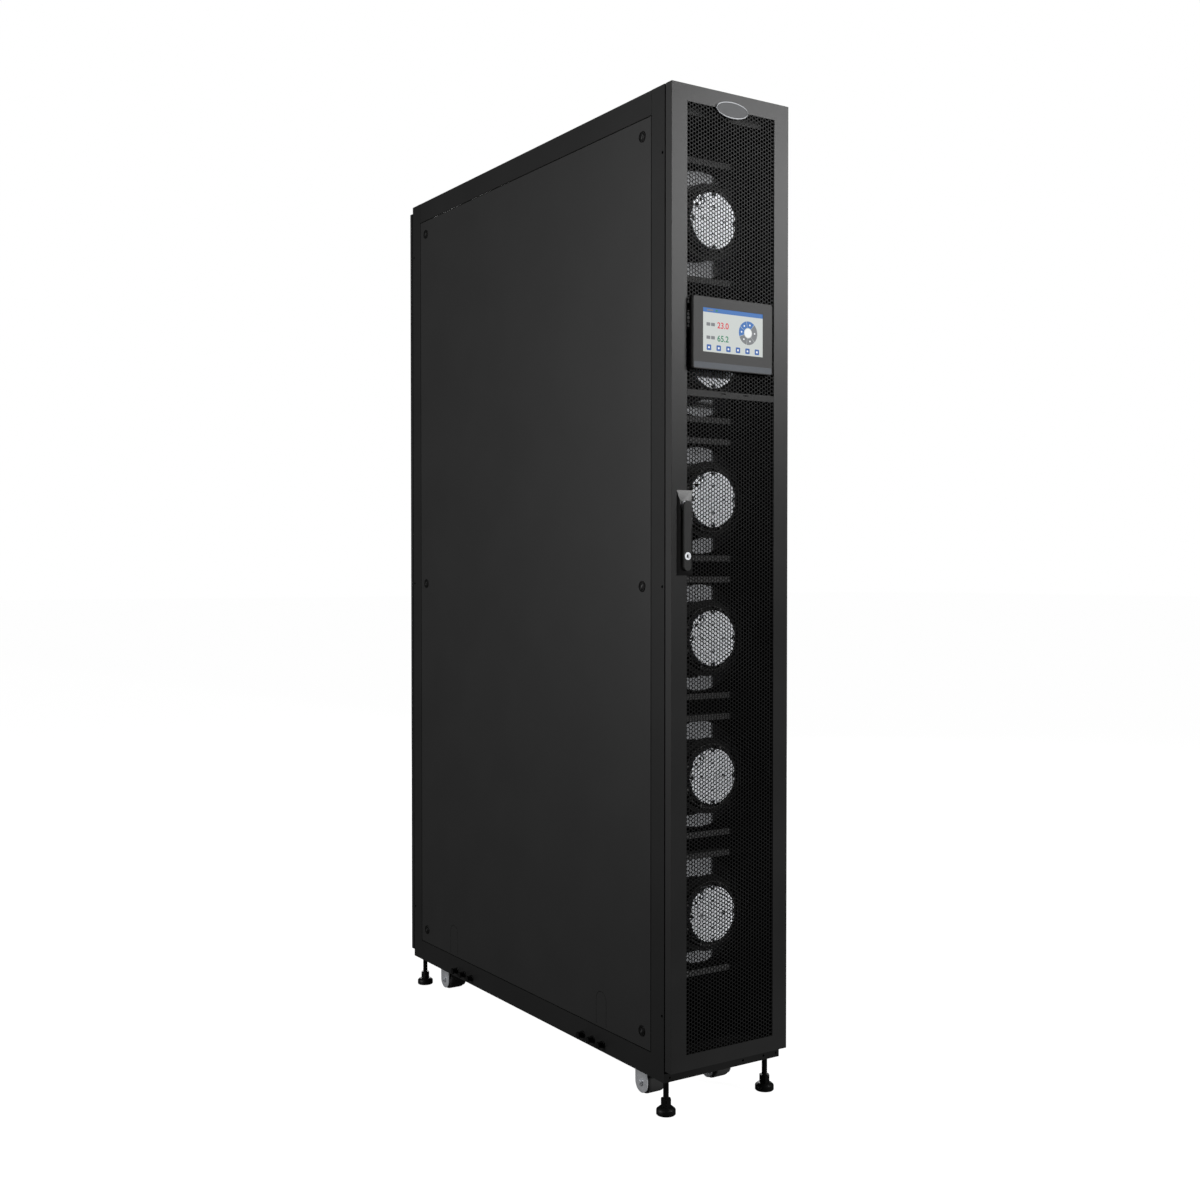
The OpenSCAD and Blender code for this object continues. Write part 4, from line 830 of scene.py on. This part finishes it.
def build_brackets():
    """The bars stay in their paint; the ring plates and their arms are matt black."""
    levels = [centre(node).z for node in FANS]
    flange = 12 * MM
    # from a fan's middle to the near edges of its two bars
    reach = max(v.co.z for v in frame["nodes"]["fan_brackets"].data.vertices) - levels[-1] - flange
    for name, material, wanted in (("fan_bars", "inner_paint", True),
                                   ("fan_ring_plates", "housing_black", False)):
        bm = shape_of("fan_brackets")
        for z in levels:
            for cut in (z - reach, z + reach):
                bmesh.ops.bisect_plane(bm, geom=bm.verts[:] + bm.edges[:] + bm.faces[:],
                                       plane_co=(0, 0, cut), plane_no=(0, 0, 1), dist=WELD)
        middles = [(f, f.calc_center_median().z) for f in bm.faces]
        other = [f for f, at in middles if (min(abs(at - z) for z in levels) > reach - WELD) != wanted]
        bmesh.ops.delete(bm, geom=other, context="FACES")
        piece(name, bm, material, "cabinet", ["fan_brackets"])


# ---------- feet, casters and fasteners ----------

def hexagon(across, start=0):
    """A hexagon's outline from its width across the flats, with its first corner at start degrees."""
    corner = across / math.sqrt(3)
    return [(corner * math.cos(math.radians(start + 60 * k)), corner * math.sin(math.radians(start + 60 * k)))
            for k in range(6)]


def threaded(radius, low, high, pitch, depth):
    """The profile of a thread, as grooves from low to high."""
    points = [(0, low), (radius - depth, low)]
    turns = int((high - low) / pitch)
    for k in range(turns):
        points += [(radius, low + (k + 0.35) * pitch), (radius, low + (k + 0.6) * pitch),
                   (radius - depth, low + (k + 0.95) * pitch)]
    return points + [(radius - depth, high), (0, high)]


def build_feet():
    """The levelling feet: a round pad with a hexagon on it and a threaded stem, and their lock nuts."""
    pad_h, hex_h = 16 * MM, 17 * MM
    for node in ("foot_front_left", "foot_front_right", "foot_rear_left", "foot_rear_right"):
        low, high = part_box(node)
        mid = (low + high) / 2
        radius = (high.x - low.x) / 2
        place = Matrix.Translation((mid.x, mid.y, 0))
        bm = bmesh.new()
        turned_into(bm, ((0, 0), (radius - 1.2 * MM, 0), (radius, 1.2 * MM), (radius, 10 * MM),
                         (radius - 0.6 * MM, 11.4 * MM), (radius - 5.5 * MM, 15.6 * MM),
                         (radius - 6.5 * MM, pad_h), (0, pad_h)), place, 64)
        piece(node + "_pad", bm, "fastener_black", node, [node])
        bm = bmesh.new()
        outline_into(bm, hexagon(20 * MM), hex_h, place @ Matrix.Translation((0, 0, pad_h)))
        piece(node + "_hex", bm, "fastener_black", node, bevel=0.8 * MM)
        bm = bmesh.new()
        turned_into(bm, threaded(5.9 * MM, 32 * MM, high.z, 1.75 * MM, 0.9 * MM), place, 28)
        piece(node + "_stem", bm, "fastener_black", node, smooth=20)
    softened("foot_lock_nuts", 0.6 * MM)


def build_casters():
    """The casters' forks, axles and wheels, whose tyres are rounded at both edges."""
    softened("caster_forks", 0.6 * MM)
    softened("caster_axles", 0.5 * MM)
    bore = 4.1 * MM
    edge = 8 * MM              # radius of the tyre's rounded edges
    dish = 1.5 * MM            # depth of the wheel's sunk side
    for node in ("caster_wheel_front_left", "caster_wheel_front_right", "caster_wheel_rear_left",
                 "caster_wheel_rear_right"):
        low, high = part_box(node)
        mid = (low + high) / 2
        radius, half = (high.z - low.z) / 2, (high.x - low.x) / 2
        place = Matrix.Translation(mid) @ Matrix.Rotation(math.radians(90), 4, "Y")
        profile = [(bore, -half), (9 * MM, -half), (10 * MM, -half + dish),
                   (radius - 9 * MM, -half + dish), (radius - edge, -half)]
        profile += [(radius - edge + edge * math.sin(a), -half + edge - edge * math.cos(a))
                    for a in (math.radians(15 * k) for k in range(1, 7))]
        profile += [(r, -z) for r, z in reversed(profile)]
        bm = bmesh.new()
        turned_into(bm, profile + [profile[0]], place, 72)
        bmesh.ops.remove_doubles(bm, verts=bm.verts, dist=WELD)
        piece(node + "_tyre", bm, "wheel_rubber", node, [node])


def pieces_of(node):
    """The boxes (low, high) of a CAD node's separate solids."""
    bm = bmesh.new()
    bm.from_mesh(frame["nodes"][node].data)
    bmesh.ops.remove_doubles(bm, verts=bm.verts, dist=WELD)
    bm.verts.ensure_lookup_table()
    seen, boxes = set(), []
    for vert in bm.verts:
        if vert in seen:
            continue
        group, queue = [], [vert]
        seen.add(vert)
        while queue:
            current = queue.pop()
            group.append(current.co.copy())
            for edge in current.link_edges:
                other = edge.other_vert(current)
                if other not in seen:
                    seen.add(other)
                    queue.append(other)
        boxes.append((Vector([min(c[i] for c in group) for i in range(3)]),
                      Vector([max(c[i] for c in group) for i in range(3)])))
    bm.free()
    return boxes


def outwards(side):
    """Local Z out of the cabinet's side, side = -1 for the left."""
    return Matrix.Rotation(math.radians(90 * side), 4, "Y")


def build_fasteners():
    """The side panels' fasteners and the ends of the rails' bolts with their nuts, on both sides."""
    wall = frame["nodes"]["side_panel_left"].data
    face = max(abs(v.co.x) for v in wall.vertices)
    head_h = 1.5 * MM
    heads, slots = bmesh.new(), bmesh.new()
    for low, high in pieces_of("panel_fasteners"):
        side = 1 if low.x > 0 else -1
        mid = (low + high) / 2
        radius = (high.z - low.z) / 2
        place = Matrix.Translation((side * face, mid.y, mid.z)) @ outwards(side)
        turned_into(heads, ((radius, 0), (radius, 0.9 * MM), (radius - 0.5 * MM, 1.4 * MM),
                            (radius - 2.4 * MM, head_h), (radius - 2.8 * MM, 0.7 * MM),
                            (radius - 4.2 * MM, 0.6 * MM), (radius - 4.6 * MM, 1.3 * MM),
                            (radius - 5.2 * MM, head_h), (0, head_h)), place, 48)
        turned_into(heads, ((4 * MM, -20 * MM), (4 * MM, 0)), place, 24)
        outline_into(slots, rounded(1.8 * MM, 9.5 * MM, 0.8 * MM, 3), 0.1 * MM, around(place, 55, 0, head_h))
    piece("fastener_heads", heads, "fastener_black", "cabinet", ["panel_fasteners"])
    piece("fastener_slots", slots, "screw_steel", "cabinet")

    # a washer on the side, a nut on it, and a second nut at the bolt's end
    washer_h, nut_h, end_nut_h = 2 * MM, 5 * MM, 5.3 * MM
    shank, washer = 4 * MM, 8 * MM
    bolts, nuts = bmesh.new(), bmesh.new()
    for low, high in pieces_of("rail_bolts"):
        side = 1 if low.x > 0 else -1
        mid = (low + high) / 2
        out = max(abs(low.x), abs(high.x)) - face
        inner = face - min(abs(low.x), abs(high.x))
        place = Matrix.Translation((side * face, mid.y, mid.z)) @ outwards(side)
        turned_into(bolts, threaded(shank, -inner, out - 5 * MM, 1.25 * MM, 0.6 * MM), place, 24)
        turned_into(nuts, ((shank, 0), (washer, 0), (washer, 1.6 * MM), (7.6 * MM, washer_h),
                           (shank, washer_h)), place, 32)
        for start, thick in ((washer_h, nut_h), (out - end_nut_h, end_nut_h)):
            outline_into(nuts, hexagon(12.8 * MM, 20), thick, place @ Matrix.Translation((0, 0, start)))
    piece("rail_bolt_shanks", bolts, "fastener_black", "cabinet", ["rail_bolts"], smooth=20)
    piece("rail_bolt_nuts", nuts, "fastener_black", "cabinet", bevel=0.5 * MM)


# ---------- coil, filters and the rest inside ----------

def build_coil():
    """The coil's fins, one by one above the tray, and the tube sheets at its two sides."""
    low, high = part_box("coil_fins")
    tray_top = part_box("drip_tray")[1].z
    bottom = tray_top + 50 * MM
    pitch, fin, sheet = 2.6 * MM, 0.25 * MM, 1.2 * MM
    count = int((high.x - low.x) / pitch)
    bm = bmesh.new()
    for k in range(1, count):
        x = low.x + (high.x - low.x) * k / count
        box_into(bm, (x, low.y, bottom), (x + fin, high.y, high.z))
    piece("coil_fin_pack", bm, "fin_aluminium", "cabinet", ["coil_fins"])
    bm = bmesh.new()
    for x in (low.x, high.x - sheet):
        box_into(bm, (x, low.y, low.z), (x + sheet, high.y, high.z))
    piece("coil_tube_sheets", bm, "galvanised", "cabinet")


def build_filters():
    """Each filter as a frame of four bars round a pleated medium."""
    bar = 15 * MM
    inset = 3 * MM             # of the pleats' folds from the frame's front and rear
    pleats = 56
    frames, medium = bmesh.new(), bmesh.new()
    for low, high in pieces_of("air_filters"):
        left, right = low.x + bar, high.x - bar
        bottom, top = low.z + bar, high.z - bar
        for corner_low, corner_high in (
                ((low.x, low.y, low.z), (left, high.y, high.z)),
                ((right, low.y, low.z), (high.x, high.y, high.z)),
                ((left, low.y, low.z), (right, high.y, bottom)),
                ((left, low.y, top), (right, high.y, high.z))):
            box_into(frames, corner_low, corner_high)
        span = high.x - low.x - 2 * bar
        for k in range(pleats):
            x0, x1 = (left + span * i / pleats for i in (k, k + 1))
            y0, y1 = (low.y + inset, high.y - inset) if k % 2 else (high.y - inset, low.y + inset)
            medium.faces.new([medium.verts.new(c) for c in (
                (x0, y0, bottom), (x1, y1, bottom), (x1, y1, top), (x0, y0, top))])
    piece("filter_frames", frames, "galvanised", "cabinet", ["air_filters"], bevel=0.6 * MM)
    bmesh.ops.remove_doubles(medium, verts=medium.verts, dist=WELD)
    piece("filter_medium", medium, "filter_medium", "cabinet", smooth=10)


def build_inside():
    """What else is inside and keeps its CAD shape."""
    for node in ("electrical_box", "main_switch_knob", "condensate_pump", "control_valve", "drip_tray",
                 "mid_posts"):
        softened(node, 0.6 * MM)


# ---------- soft-edged CAD pieces ----------

def build_front_frame():
    """The sill below the door is in a darker, rougher black than the posts, which stay in the frame's paint."""
    door_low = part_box("front_door_frame")[0]
    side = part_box("front_frame")[1].x - 1 * MM
    for name, material, wanted in (("front_frame_posts", "frame_paint", False),
                                   ("front_frame_sill", "housing_black", True)):
        bm = shape_of("front_frame")
        bmesh.ops.bisect_plane(bm, geom=bm.verts[:] + bm.edges[:] + bm.faces[:],
                               plane_co=(0, 0, door_low.z), plane_no=(0, 0, 1), dist=WELD)
        middles = [(f, f.calc_center_median()) for f in bm.faces]
        other = [f for f, c in middles if (c.z < door_low.z and abs(c.x) < side) != wanted]
        bmesh.ops.delete(bm, geom=other, context="FACES")
        piece(name, bm, material, "cabinet", ["front_frame"], bevel=0.5 * MM)


def build_softened():
    """The sheet-metal pieces that only need softer edges, and one crossbar in the frame's paint."""
    build_front_frame()
    for node in ("rear_frame", "base_rails", "top_rails", "side_panel_left", "side_panel_right",
                 "rear_door_frame"):
        softened(node, 0.5 * MM)
    softened("front_door_frame", 1.0 * MM)
    softened("door_crossbar", 0.5 * MM, "frame_paint")
    softened("display_housing", 0.5 * MM)


build_camera()
build_floor()
build_world()
build_lights()
build_softened()
build_door_meshes()
build_display_frame()
build_screen()
build_badge()
build_handles()
build_fans()
build_feet()
build_casters()
build_fasteners()
build_coil()
build_filters()
build_inside()
